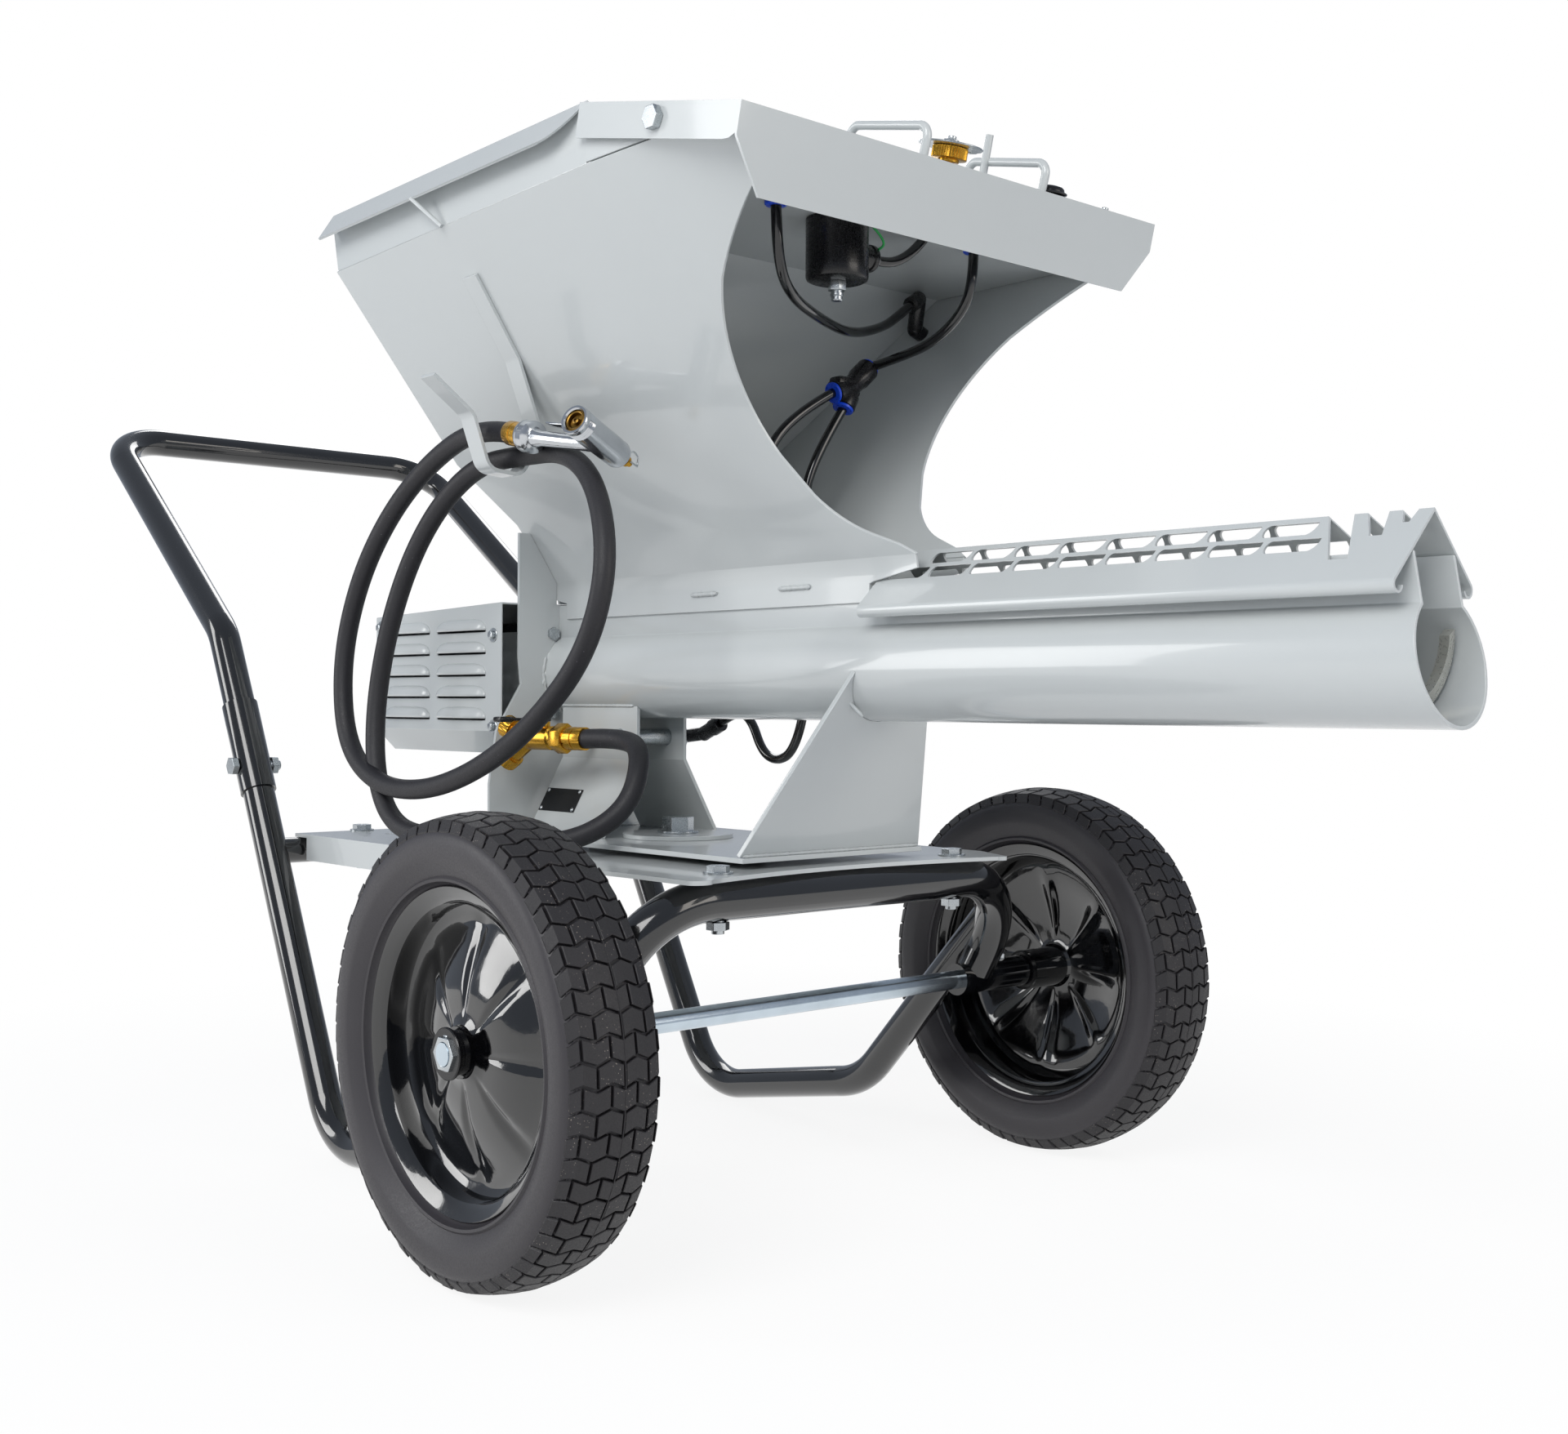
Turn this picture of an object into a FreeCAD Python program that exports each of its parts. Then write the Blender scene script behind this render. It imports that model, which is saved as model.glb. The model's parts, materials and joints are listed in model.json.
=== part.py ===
"""A portable mortar mixer: a hopper and an auger trough that swivel on a two-wheeled cart.

Lengths are millimetres. X runs forward along the trough, Y to the right-hand side of the
photograph and Z up from the ground. Every X in this file is measured from the axle, and
the helpers add axle_x, which moves it to the middle of the machine's length.
"""
import FreeCAD
import Part
import Sketcher
import math
import operator
import os
from types import SimpleNamespace
from FreeCAD import Placement, Rotation, Vector

# Driving dimensions
SIZES = {
    # cart
    "axle_x": 244.4,
    "tyre_radius": 203,
    "tyre_width": 90,
    "wheel_inset": 42.3,
    "lip_radius": 141,
    "seat_radius": 128,
    "rim_half": 32,
    "rim_sheet": 2.5,
    "hub_radius": 22,
    "hub_bore": 13.4,
    "hub_in": 38,
    "hub_out": 28,
    "bush_flange": 3,
    "axle_radius": 10,
    "axle_half": 409,
    "housing_radius": 17,
    "housing_length": 102,
    "housing_gap": 3.7,
    "frame_radius": 18,
    "frame_wall": 2,
    "arch_radius": 20,
    "arch_x": 54,
    "arch_inset": 104.7,
    "arch_bend": 85,
    "arch_lean": 52,
    "arch_foot_in": 14,
    "leg_weld_x": 24,
    "leg_weld_y": 250,
    "leg_weld_z": 277,
    "knee_x": -181,
    "knee_y": 257,
    "knee_z": 60,
    "knee_bend": 110,
    "skid_x": -471,
    "skid_y": 262,
    "skid_z": 8,
    "skid_bend": 85,
    "leg_top_x": -720,
    "leg_top_y": 257.5,
    "leg_top_z": 479.5,
    "socket_z": 393,
    "socket_length": 115,
    "socket_radius": 20.5,
    "handle_bend_x": -775.5,
    "handle_bend_y": 257,
    "handle_bend_z": 583,
    "grip_x": -1165,
    "grip_y": 245,
    "grip_z": 862,
    "handle_bend": 70,
    "deck_top": 344,
    "deck_sheet": 4,
    "deck_rear": -648,
    "deck_front": 88,
    "deck_half": 225,
    "deck_flange": 30,
    "deck_flange_front": -90,
    "lobe_x": 97,
    "left_lobe_y": 205,
    "right_lobe_y": 190,
    "tie_x": -640,
    "tie_radius": 15,
    "front_bolt_y": 155,
    "rear_bolt_y": 143,
    "bolt_radius": 6,
    "bolt_flats": 19,
    "bolt_head": 7.5,
    # swivel
    "pivot_x": -205,
    "pivot_bolt_radius": 10,
    "pivot_flats": 30,
    "pivot_head": 15,
    "pivot_disc_radius": 59.5,
    "pivot_disc_sheet": 4.5,
    "bearing_radius": 95,
    "bearing_gap": 6,
    "base_sheet": 5,
    "base_rear": -392,
    "base_front": 46,
    "base_half": 122,
    "running_gap": 0.1,
    # trough and its supports
    "tube_z": 533.2,
    "tube_radius": 50,
    "tube_wall": 3,
    "cheek_half": 30.2,
    "cheek_top": 610,
    "trough_rear": -388,
    "mouth_x": 671.4,
    "mouth_rake": 0.18,
    "plate_sheet": 4,
    "back_half": 84,
    "back_top": 690,
    "back_neck_z": 520,
    "back_foot_z": 409,
    "back_slope_z": 468,
    "back_slope_half": 113,
    "bracket_y": 33.8,
    "bracket_rear": -375,
    "bracket_front": -234,
    "bracket_bend_z": 438,
    "bracket_foot_y": 80,
    "support_x": 41,
    "support_lean": 0.478,
    "support_foot_half": 119,
    "support_head_half": 49,
    "support_top": 532,
    "support_sheet": 5,
    "weld_gap": 0.2,
    "guard_rear": 131,
    "guard_ridge": 642.3,
    "guard_hem_y": 54.1,
    "guard_hem_z": 590,
    "guard_sheet": 2,
    "teeth_x": 584,
    "slot_length": 45,
    "slot_height": 10,
    "slot_pitch": 50.3,
    "auger_radius": 43,
    "shaft_radius": 16,
    "flight_pitch": 62,
    "flight_sheet": 5,
    "tip_angle": 123,
    "ribbon_root": 34,
    "ribbon_sheet": 8,
    "ribbon_length": 78,
    "auger_rear": -372,
    "auger_front": 664,
    # hopper
    "wing_root_y": 10,
    "wing_root_z": 600,
    "wing_sheet": 3,
    "skirt_z": 594,
    "skirt_rear": -369,
    "skirt_front": 125,
    "fold_rear_x": -491,
    "rear_band_height": 59.5,
    "band_height": 57,
    "band_half": 262,
    "band_sheet": 2.5,
    "band_front": 198,
    "ridge_fall": 8,
    "ridge_front_z": 1039,
    "ridge_rear_x": -487,
    "ridge_front_x": -6,
    "lip_out": 18,
    "lip_down": 28,
    "rear_mid_x": -460,
    "rear_mid_z": 769,
    "rear_low_x": -406,
    "rear_low_z": 700,
    "rear_foot_x": -393,
    "rear_foot_z": 617,
    "front_wall_x": -25.6,
    "front_wall_z": 967,
    "front_wall_lean": 0.844,
    "front_wall_foot": 612,
    "front_wall_drop": 17,
    # console
    "console_rear_x": -5,
    "console_step": 4,
    "console_front_x": 220,
    "console_fall": 53,
    "console_overhang": 8,
    "console_sheet": 2.5,
    "apron": 71,
    "apron_side": 26,
    "apron_taper": 33,
    "flange_depth": 31,
    "tray_depth": 92,
    "tray_sheet": 2,
    "console_bolt_x": 107,
    "console_bolt_rise": 12,
    "bail_radius": 4.2,
    "bail_rise": 30,
    "bail_bend": 11,
    "bail_rear_x": 94,
    "bail_front_x": 195,
    "left_bail_y": -38,
    "right_bail_y": 124,
    "post_x": 120,
    "post_y": 120,
    "post_length": 55,
    "knob_x": 169.5,
    "knob_y": 20,
    "knob_radius": 17,
    "knob_length": 14,
    "knob_rise": 9,
    "disc_radius": 30.5,
    "disc_sheet": 1.5,
    "stem_radius": 5,
    "switch_x": 188,
    "switch_y": 145,
    "switch_radius": 15,
    "switch_rise": 6,
    "coil_x": 120,
    "coil_y": -72,
    "coil_radius": 29,
    "coil_length": 57,
    # water
    "hose_radius": 10.5,
    "ferrule_radius": 12.5,
    "ferrule_length": 26,
    "hook_x": -255,
    "hook_width": 25,
    "hook_sheet": 4,
    "valve_z": 461,
    "valve_radius": 13,
    "pipe_x": -265,
    "pipe_z": 462,
    "pipe_radius": 9,
    "tube_outer": 5,
    # drive
    "box_rear": -676,
    "box_half": 105,
    "box_floor": 441,
    "box_rear_top": 603,
    "box_front_top": 611.5,
    "box_sheet": 2,
    "box_chamfer": 26,
    "louvre_length": 105,
    "louvre_pitch": 25,
    "motor_radius": 62,
    "motor_rear": -618,
    "motor_front": -505,
    "gearbox_front": -398.3,
    "gearbox_half": 48,
    "gearbox_bolt_y": 39.5,
    "gearbox_bolt_rise": 44.8,
    "gearbox_bolt_radius": 4,
    "bearing_flange": 34,
}

# Sizes that follow from the driving ones, as formulas in the same sheet
FORMULAS = {
    "wheel_y": "axle_half - wheel_inset",
    "housing_out": "wheel_y - hub_in - bush_flange - housing_gap",
    "housing_in": "housing_out - housing_length",
    "arch_half": "wheel_y - arch_inset",
    "ridge_rear_z": "ridge_front_z - ridge_fall",
    "fold_front_z": "ridge_front_z - band_height",
    "fold_rear_z": "ridge_rear_z - rear_band_height",
    "wing_slope": "(band_half - wing_root_y) / (fold_front_z - wing_root_z)",
    "front_wall_head": "ridge_front_z - front_wall_drop",
    "console_rear_z": "ridge_front_z - console_step",
    "console_front_z": "console_rear_z - console_fall",
    "console_half": "band_half + console_overhang",
    "apron_foot_half": "console_half - apron_taper",
    "console_bolt_z": "fold_front_z + console_bolt_rise",
    "tray_z": "console_rear_z - tray_depth",
    "coil_foot": "tray_z - coil_length",
}


class Size:
    """A number together with the sheet expression that gives it."""

    def __init__(self, value, text):
        self.value = value
        self.text = text

    def __add__(self, other):
        return join(self, "+", other)

    def __radd__(self, other):
        return join(other, "+", self)

    def __sub__(self, other):
        return join(self, "-", other)

    def __rsub__(self, other):
        return join(other, "-", self)

    def __mul__(self, other):
        return join(self, "*", other)

    def __rmul__(self, other):
        return join(other, "*", self)

    def __truediv__(self, other):
        return join(self, "/", other)

    def __rtruediv__(self, other):
        return join(other, "/", self)

    def __neg__(self):
        return join(0, "-", self)


OPERATIONS = {"+": operator.add, "-": operator.sub, "*": operator.mul, "/": operator.truediv}


def size(number):
    """The number as a Size; a plain number is its own expression."""
    return number if isinstance(number, Size) else Size(float(number), f"({float(number)})")


def join(first, sign, second):
    first, second = size(first), size(second)
    return Size(OPERATIONS[sign](first.value, second.value), f"({first.text} {sign} {second.text})")


def root(number):
    return Size(math.sqrt(number.value), f"sqrt({number.text})")


def arctan(number):
    return Size(math.degrees(math.atan(number.value)), f"atan({number.text})")


doc = FreeCAD.newDocument("mortar_mixer")
sheet = doc.addObject("Spreadsheet::Sheet", "Sizes")
for row, alias in enumerate([*SIZES, *FORMULAS], start=1):
    sheet.set(f"A{row}", alias)
    sheet.set(f"B{row}", "=" + FORMULAS[alias] if alias in FORMULAS else str(SIZES[alias]))
    sheet.setAlias(f"B{row}", alias)
doc.recompute()
S = SimpleNamespace(**{alias: Size(float(sheet.get(alias)), "Sizes." + alias) for alias in [*SIZES, *FORMULAS]})

NODES = []


def node(label, thing):
    """Names a finished sub-part; each one becomes a file of its own."""
    thing.Label = label
    NODES.append(thing)
    return thing


def bind(thing, **sizes):
    """Sets properties and ties each to its sheet expression."""
    for name, number in sizes.items():
        number = size(number)
        setattr(thing, name, number.value)
        thing.setExpression(name, number.text)
    return thing


def place(thing, x, y, z, rotation=None, pitch=None):
    """Puts an object at a point; pitch turns it about Y by a bound angle."""
    spot = [size(S.axle_x + x), size(y), size(z)]
    if pitch is not None:
        rotation = Rotation(Vector(0, 1, 0), pitch.value)
    thing.Placement = Placement(Vector(*[part.value for part in spot]), rotation or Rotation())
    for letter, part in zip("xyz", spot):
        thing.setExpression("Placement.Base." + letter, part.text)
    if pitch is not None:
        thing.setExpression("Placement.Rotation.Angle", pitch.text)
    return thing


# Primitives
ALONG = {
    "X": Rotation(Vector(0, 0, 1), Vector(1, 0, 0)),
    "Y": Rotation(Vector(0, 0, 1), Vector(0, 1, 0)),
    "Z": Rotation(),
}


def rod(axis, x, y, z, radius, length, pitch=None):
    """A cylinder that starts at the point and runs along the axis."""
    thing = bind(doc.addObject("Part::Cylinder", "rod"), Radius=radius, Height=length)
    return place(thing, x, y, z, ALONG[axis], pitch)


def hexagon(axis, x, y, z, flats, length, pitch=None):
    """A six-sided prism, such as a bolt's head, given its width across flats."""
    thing = doc.addObject("Part::Prism", "hexagon")
    thing.Polygon = 6
    bind(thing, Circumradius=flats / root(size(3)), Height=length)
    return place(thing, x, y, z, ALONG[axis], pitch)


def block(low, high):
    """A box between two corners."""
    sides = [high[i] - low[i] for i in range(3)]
    thing = bind(doc.addObject("Part::Box", "block"), Length=sides[0], Width=sides[1], Height=sides[2])
    return place(thing, *low)


def fused(*things):
    thing = doc.addObject("Part::MultiFuse", "fused")
    thing.Shapes = list(things)
    return thing


def cut(base, *tools):
    """The base with the tools taken away."""
    thing = doc.addObject("Part::Cut", "cut")
    thing.Base = base
    thing.Tool = tools[0] if len(tools) == 1 else fused(*tools)
    return thing


def group(*things):
    """Several separate solids kept as one sub-part."""
    thing = doc.addObject("Part::Compound", "group")
    thing.Links = list(things)
    return thing


def mirrored(thing):
    """The same piece on the other side of the middle plane."""
    twin = doc.addObject("Part::Mirroring", "twin")
    twin.Source = thing
    twin.Normal = Vector(0, 1, 0)
    return twin


# Sketched bodies
def sketch_on(body, plane, shift, tilt=None):
    """A sketch on one of the body's own planes, moved by shift and tilted about its first axis."""
    sketch = body.newObject("Sketcher::SketchObject", "outline")
    origin_plane = [item for item in body.Origin.OriginFeatures if item.Role == plane + "_Plane"][0]
    sketch.AttachmentSupport = [(origin_plane, "")]
    sketch.MapMode = "FlatFace"
    shift = [size(part) for part in shift]
    turn = Rotation(Vector(1, 0, 0), tilt.value) if tilt else Rotation()
    sketch.AttachmentOffset = Placement(Vector(*[part.value for part in shift]), turn)
    for letter, part in zip("xyz", shift):
        sketch.setExpression("AttachmentOffset.Base." + letter, part.text)
    if tilt:
        sketch.setExpression("AttachmentOffset.Rotation.Angle", tilt.text)
    return sketch


def hold(sketch, kind, geometry, point, number):
    """Ties one coordinate of a sketched point to its expression."""
    index = sketch.addConstraint(Sketcher.Constraint(kind, -1, 1, geometry, point, number.value))
    sketch.setExpression(f"Constraints[{index}]", number.text)


def draw(sketch, outline, circles=()):
    """Draws a closed outline of corners; a third entry, "arc", marks a point that an arc passes through."""
    corners = [i for i, point in enumerate(outline) if len(point) == 2]
    edges = []
    for start, end in zip(corners, corners[1:] + corners[:1]):
        a = Vector(size(outline[start][0]).value, size(outline[start][1]).value)
        b = Vector(size(outline[end][0]).value, size(outline[end][1]).value)
        following = outline[(start + 1) % len(outline)]
        if len(following) == 3:
            through = Vector(size(following[0]).value, size(following[1]).value)
            edge = sketch.addGeometry(Part.Arc(a, through, b), False)
            marker = sketch.addGeometry(Part.Point(through), True)
            sketch.addConstraint(Sketcher.Constraint("PointOnObject", marker, 1, edge))
            hold(sketch, "DistanceX", marker, 1, size(following[0]))
            hold(sketch, "DistanceY", marker, 1, size(following[1]))
        else:
            edge = sketch.addGeometry(Part.LineSegment(a, b), False)
        first = 1 if (sketch.getPoint(edge, 1) - a).Length < (sketch.getPoint(edge, 2) - a).Length else 2
        hold(sketch, "DistanceX", edge, first, size(outline[start][0]))
        hold(sketch, "DistanceY", edge, first, size(outline[start][1]))
        edges.append((edge, first))
    for (edge, first), (following, start) in zip(edges, edges[1:] + edges[:1]):
        sketch.addConstraint(Sketcher.Constraint("Coincident", edge, 3 - first, following, start))
    for x, y, radius in circles:
        x, y, radius = size(x), size(y), size(radius)
        ring = sketch.addGeometry(Part.Circle(Vector(x.value, y.value), Vector(0, 0, 1), radius.value), False)
        hold(sketch, "DistanceX", ring, 3, x)
        hold(sketch, "DistanceY", ring, 3, y)
        index = sketch.addConstraint(Sketcher.Constraint("Radius", ring, radius.value))
        sketch.setExpression(f"Constraints[{index}]", radius.text)
    return sketch


def spread(plane, low, high, cutting):
    """The shift that puts a sketch where a pad or a pocket along the plane's normal starts."""
    if plane == "XY":
        return (S.axle_x, 0, high if cutting else low)
    if plane == "XZ":
        return (S.axle_x, 0, -low if cutting else -high)
    return (0, 0, S.axle_x + (high if cutting else low))


def pad(body, plane, low, high, outline, circles=()):
    """Adds an outline spread between two distances along the plane's axis."""
    sketch = draw(sketch_on(body, plane, spread(plane, size(low), size(high), False)), outline, circles)
    feature = body.newObject("PartDesign::Pad", "pad")
    feature.Profile = sketch
    bind(feature, Length=size(high) - low)
    sketch.Visibility = False
    return feature


def pocket(body, plane, low, high, outline, circles=()):
    """Takes an outline away between two distances along the plane's axis."""
    sketch = draw(sketch_on(body, plane, spread(plane, size(low), size(high), True)), outline, circles)
    feature = body.newObject("PartDesign::Pocket", "pocket")
    feature.Profile = sketch
    bind(feature, Length=size(high) - low)
    sketch.Visibility = False
    return feature


def leaning_pad(body, plane, shift, tilt, outline, thickness, back=False):
    """Adds an outline drawn on a tilted plane."""
    sketch = draw(sketch_on(body, plane, shift, tilt), outline)
    feature = body.newObject("PartDesign::Pad", "pad")
    feature.Profile = sketch
    feature.Reversed = back
    bind(feature, Length=thickness)
    return feature


def new_body():
    return doc.addObject("PartDesign::Body", "Body")


def prism(plane, low, high, outline, circles=()):
    body = new_body()
    pad(body, plane, low, high, outline, circles)
    return body


def repeat(feature, pitch, count):
    """Repeats a feature forward along X."""
    body = feature.getParentGeoFeatureGroup()
    pattern = body.newObject("PartDesign::LinearPattern", "row")
    pattern.Originals = [feature]
    pattern.Direction = (feature.Profile[0], ["H_Axis"])
    bind(pattern, Length=size(pitch) * (count - 1))
    pattern.Occurrences = count
    body.Tip = pattern
    return pattern


# Bent tubes, rods and strips
def spot(x, y, z):
    """A point of the model from sizes or plain numbers."""
    return Vector((S.axle_x + x).value, size(y).value, size(z).value)


def rounded(points, radii=None):
    """A wire of straight runs joined by tangent arcs; with no radii, each arc is as large as its runs allow."""
    edges = []
    start = points[0]
    used = []
    for i in range(1, len(points) - 1):
        back, ahead = points[i - 1] - points[i], points[i + 1] - points[i]
        half = (math.pi - back.getAngle(ahead)) / 2
        reach = 0.45 * min(back.Length, ahead.Length)
        radius = radii[i - 1] if radii else reach / math.tan(half)
        reach = radius * math.tan(half)
        used.append(radius)
        one, two = Vector(back).normalize(), Vector(ahead).normalize()
        enter, leave = points[i] + one * reach, points[i] + two * reach
        middle = points[i] + (one + two).normalize() * (radius / math.cos(half) - radius)
        if (enter - start).Length > 1e-6:
            edges.append(Part.LineSegment(start, enter).toShape())
        edges.append(Part.Arc(enter, middle, leave).toShape())
        start = leave
    edges.append(Part.LineSegment(start, points[-1]).toShape())
    return Part.Wire(edges), used


def swept(path, profile, binormal=None):
    """A solid made by moving a closed profile along a path."""
    maker = Part.BRepOffsetAPI.MakePipeShell(path)
    if binormal:
        maker.setBiNormalMode(binormal)
    else:
        maker.setFrenetMode(False)
    maker.add(profile)
    maker.build()
    maker.makeSolid()
    return Part.Solid(maker.shape())


def round_bar(points, radii, radius):
    """A solid round bar along the points, with its path's arc radii."""
    path, used = rounded(points, radii)
    first = points[1] - points[0]
    profile = Part.Wire([Part.makeCircle(radius, points[0], first)])
    bar = swept(path, profile)
    expected = math.pi * radius ** 2 * path.Length
    assert abs(bar.Volume / expected - 1) < 0.01, "a bent bar's volume is wrong"
    return bar, used


def feature(label, shape):
    thing = doc.addObject("Part::Feature", label)
    thing.Shape = shape
    return thing


def bent_tube(label, points, radii, outer, wall):
    """A bent tube and the solid of its outside, which cuts what is welded to it."""
    outside, _ = round_bar(points, radii, outer)
    bore, _ = round_bar(points, radii, outer - wall)
    return feature(label, outside.cut(bore)), feature(label + "_outside", outside)


def bolt(axis, x, y, z, reach, nut=True, pitch=None):
    """A hexagon bolt whose head stands on the point and whose shank runs back by reach, with its nut."""
    towards = {"X": (1, 0, 0), "Y": (0, 1, 0), "Z": (0, 0, 1)}[axis]
    far = [size(part) - reach * step for part, step in zip((x, y, z), towards)]
    end = [part - S.bolt_head * 1.5 * step for part, step in zip(far, towards)]
    pieces = [
        hexagon(axis, x, y, z, S.bolt_flats, S.bolt_head),
        rod(axis, *end, S.bolt_radius, S.bolt_head * 1.5 + reach),
    ]
    if nut:
        seat = [part - S.bolt_head * step for part, step in zip(far, towards)]
        pieces.append(hexagon(axis, *seat, S.bolt_flats, S.bolt_head))
    return fused(*pieces)


# Wheels
wheel_y = S.wheel_y
hub_wall = S.hub_radius
floor = S.seat_radius - S.running_gap
inner_floor = floor - S.rim_sheet
lip = S.rim_half - S.rim_sheet


def turned(outline):
    """A ring turned about the axle from an outline of distance outward and radius."""
    body = new_body()
    sketch = draw(sketch_on(body, "YZ", (0, S.tyre_radius, S.axle_x)), outline)
    feature_ring = body.newObject("PartDesign::Revolution", "turn")
    feature_ring.Profile = sketch
    feature_ring.ReferenceAxis = (sketch, ["H_Axis"])
    feature_ring.Angle = 360
    return body


half_width = S.tyre_width / 2
bead = lip - S.running_gap
right_tyre = turned([
    (wheel_y - bead, S.seat_radius), (wheel_y + bead, S.seat_radius),
    (wheel_y + bead, S.lip_radius), (wheel_y + S.rim_half + 3, S.lip_radius + 2),
    (wheel_y + half_width, S.lip_radius + 28, "arc"), (wheel_y + half_width - 5, S.tyre_radius - 7),
    (wheel_y, S.tyre_radius, "arc"), (wheel_y - half_width + 5, S.tyre_radius - 7),
    (wheel_y - half_width, S.lip_radius + 28, "arc"), (wheel_y - S.rim_half - 3, S.lip_radius + 2),
    (wheel_y - bead, S.lip_radius),
])
node("right_tyre", right_tyre)
node("left_tyre", mirrored(right_tyre))

right_disc = turned([
    (wheel_y - S.rim_half, inner_floor), (wheel_y - S.rim_half, S.lip_radius - 0.5),
    (wheel_y - lip, S.lip_radius - 0.5), (wheel_y - lip, floor),
    (wheel_y + lip, floor), (wheel_y + lip, S.lip_radius - 0.5),
    (wheel_y + S.rim_half, S.lip_radius - 0.5), (wheel_y + S.rim_half, inner_floor),
    (wheel_y + 8, inner_floor), (wheel_y + 2, S.seat_radius - 16),
    (wheel_y + 12, 82, "arc"), (wheel_y + 19, 50),
    (wheel_y + 22, hub_wall), (wheel_y + S.hub_out, hub_wall),
    (wheel_y + S.hub_out, S.hub_bore), (wheel_y - S.hub_in, S.hub_bore),
    (wheel_y - S.hub_in, hub_wall), (wheel_y + 19, hub_wall),
    (wheel_y + 16.5, 50), (wheel_y + 9.5, 82, "arc"),
    (wheel_y - 0.5, S.seat_radius - 16), (wheel_y + 5, inner_floor),
])
node("right_wheel_disc", right_disc)
node("left_wheel_disc", mirrored(right_disc))

bush_wall = S.hub_bore - S.weld_gap
bush_bore = S.axle_radius + S.running_gap
right_bush = fused(*[
    turned([
        (wheel_y + low, bush_bore), (wheel_y + high, bush_bore),
        (wheel_y + high, reach), (wheel_y + low, reach),
    ])
    for low, high, reach in (
        (-S.hub_in - S.bush_flange, -S.hub_in, hub_wall - 3),
        (-S.hub_in, S.hub_out, bush_wall),
        (size(S.hub_out), S.hub_out + S.bush_flange, hub_wall - 3),
    )
])
node("right_hub_bush", right_bush)
node("left_hub_bush", mirrored(right_bush))

# Axle
axle_z = S.tyre_radius
node("axle", rod("Y", 0, -S.axle_half, axle_z, S.axle_radius, S.axle_half * 2))
housing = cut(
    rod("Y", 0, S.housing_in, axle_z, S.housing_radius, S.housing_out - S.housing_in),
    rod("Y", 0, S.housing_in - 1, axle_z, S.axle_radius + 0.1, S.housing_out - S.housing_in + 2),
)
node("axle_housings", group(housing, mirrored(housing)))
nut_face = wheel_y + S.hub_out + S.bush_flange + 0.6
washer = cut(
    rod("Y", 0, nut_face, axle_z, 17, 2),
    rod("Y", 0, nut_face - 1, axle_z, S.axle_radius + 0.1, 4),
)
nut = cut(
    hexagon("Y", 0, nut_face + 2.1, axle_z, 28, 8),
    rod("Y", 0, nut_face + 1, axle_z, S.axle_radius + 0.1, 12),
)
node("axle_nuts", group(washer, nut, mirrored(washer), mirrored(nut)))

# Cart frame of bent tube
arch_z = S.deck_top - S.deck_sheet - S.arch_radius
arch_foot = (S.arch_x - S.arch_lean, S.arch_half - S.arch_foot_in, axle_z + S.housing_radius - 8)
arch_tube, arch_outside = bent_tube("arch_tube", [
    spot(arch_foot[0], -arch_foot[1], arch_foot[2]), spot(S.arch_x, -S.arch_half, arch_z),
    spot(S.arch_x, S.arch_half, arch_z), spot(*arch_foot),
], [S.arch_bend.value] * 2, S.arch_radius.value, S.frame_wall.value)
front_bolt_holes = [
    rod("Z", S.arch_x, side * S.front_bolt_y, arch_z - 40, S.bolt_radius + S.weld_gap, 100) for side in (-1, 1)
]
housing_seats = [
    rod("Y", 0, side, axle_z, S.housing_radius + 0.1, S.housing_out - S.housing_in + 2)
    for side in (S.housing_in - 1, -S.housing_out - 1)
]
node("front_arch", cut(arch_tube, *front_bolt_holes, *housing_seats))

leg_tube, leg_outside = bent_tube("leg_tube", [
    spot(S.leg_weld_x, S.leg_weld_y, S.leg_weld_z), spot(S.knee_x, S.knee_y, S.knee_z),
    spot(S.skid_x, S.skid_y, S.skid_z), spot(S.leg_top_x, S.leg_top_y, S.leg_top_z),
], [S.knee_bend.value, S.skid_bend.value], S.frame_radius.value, S.frame_wall.value)
handle_bolt_x = S.leg_top_x + 30
handle_bolt_z = S.leg_top_z - 56.5
bolt_bore = S.bolt_radius + S.weld_gap
leg_bolt_hole = rod("Y", handle_bolt_x, S.leg_top_y - 60, handle_bolt_z, bolt_bore, 120)
right_leg = cut(leg_tube, arch_outside, leg_bolt_hole, housing_seats[0])
node("right_side_tube", right_leg)
node("left_side_tube", mirrored(right_leg))

tie_z = S.deck_top - S.deck_sheet - S.tie_radius
tie = cut(
    rod("Y", S.tie_x, -S.leg_top_y, tie_z, S.tie_radius, S.leg_top_y * 2),
    rod("Y", S.tie_x, -S.leg_top_y, tie_z, S.tie_radius - S.frame_wall, S.leg_top_y * 2),
    leg_outside, mirrored(leg_outside),
    *[rod("Z", S.tie_x, side * S.rear_bolt_y, tie_z - 40, bolt_bore, 100) for side in (-1, 1)],
)
node("rear_cross_tube", tie)

# Handle
leg_rise = (S.leg_top_x - S.skid_x) / (S.leg_top_z - S.skid_z)
socket_x = S.leg_top_x + (S.socket_z - S.leg_top_z) * leg_rise
socket_top_z = S.socket_z + S.socket_length * 0.88
socket_top_x = S.leg_top_x + (socket_top_z - S.leg_top_z) * leg_rise
handle_path = [
    spot(socket_top_x, -S.leg_top_y, socket_top_z), spot(S.handle_bend_x, -S.handle_bend_y, S.handle_bend_z),
    spot(S.grip_x, -S.grip_y, S.grip_z), spot(S.grip_x, S.grip_y, S.grip_z),
    spot(S.handle_bend_x, S.handle_bend_y, S.handle_bend_z), spot(socket_top_x, S.leg_top_y, socket_top_z),
]
handle_bends = [S.handle_bend.value] * 4
handle_outside, _ = round_bar(handle_path, handle_bends, S.frame_radius.value)
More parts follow.
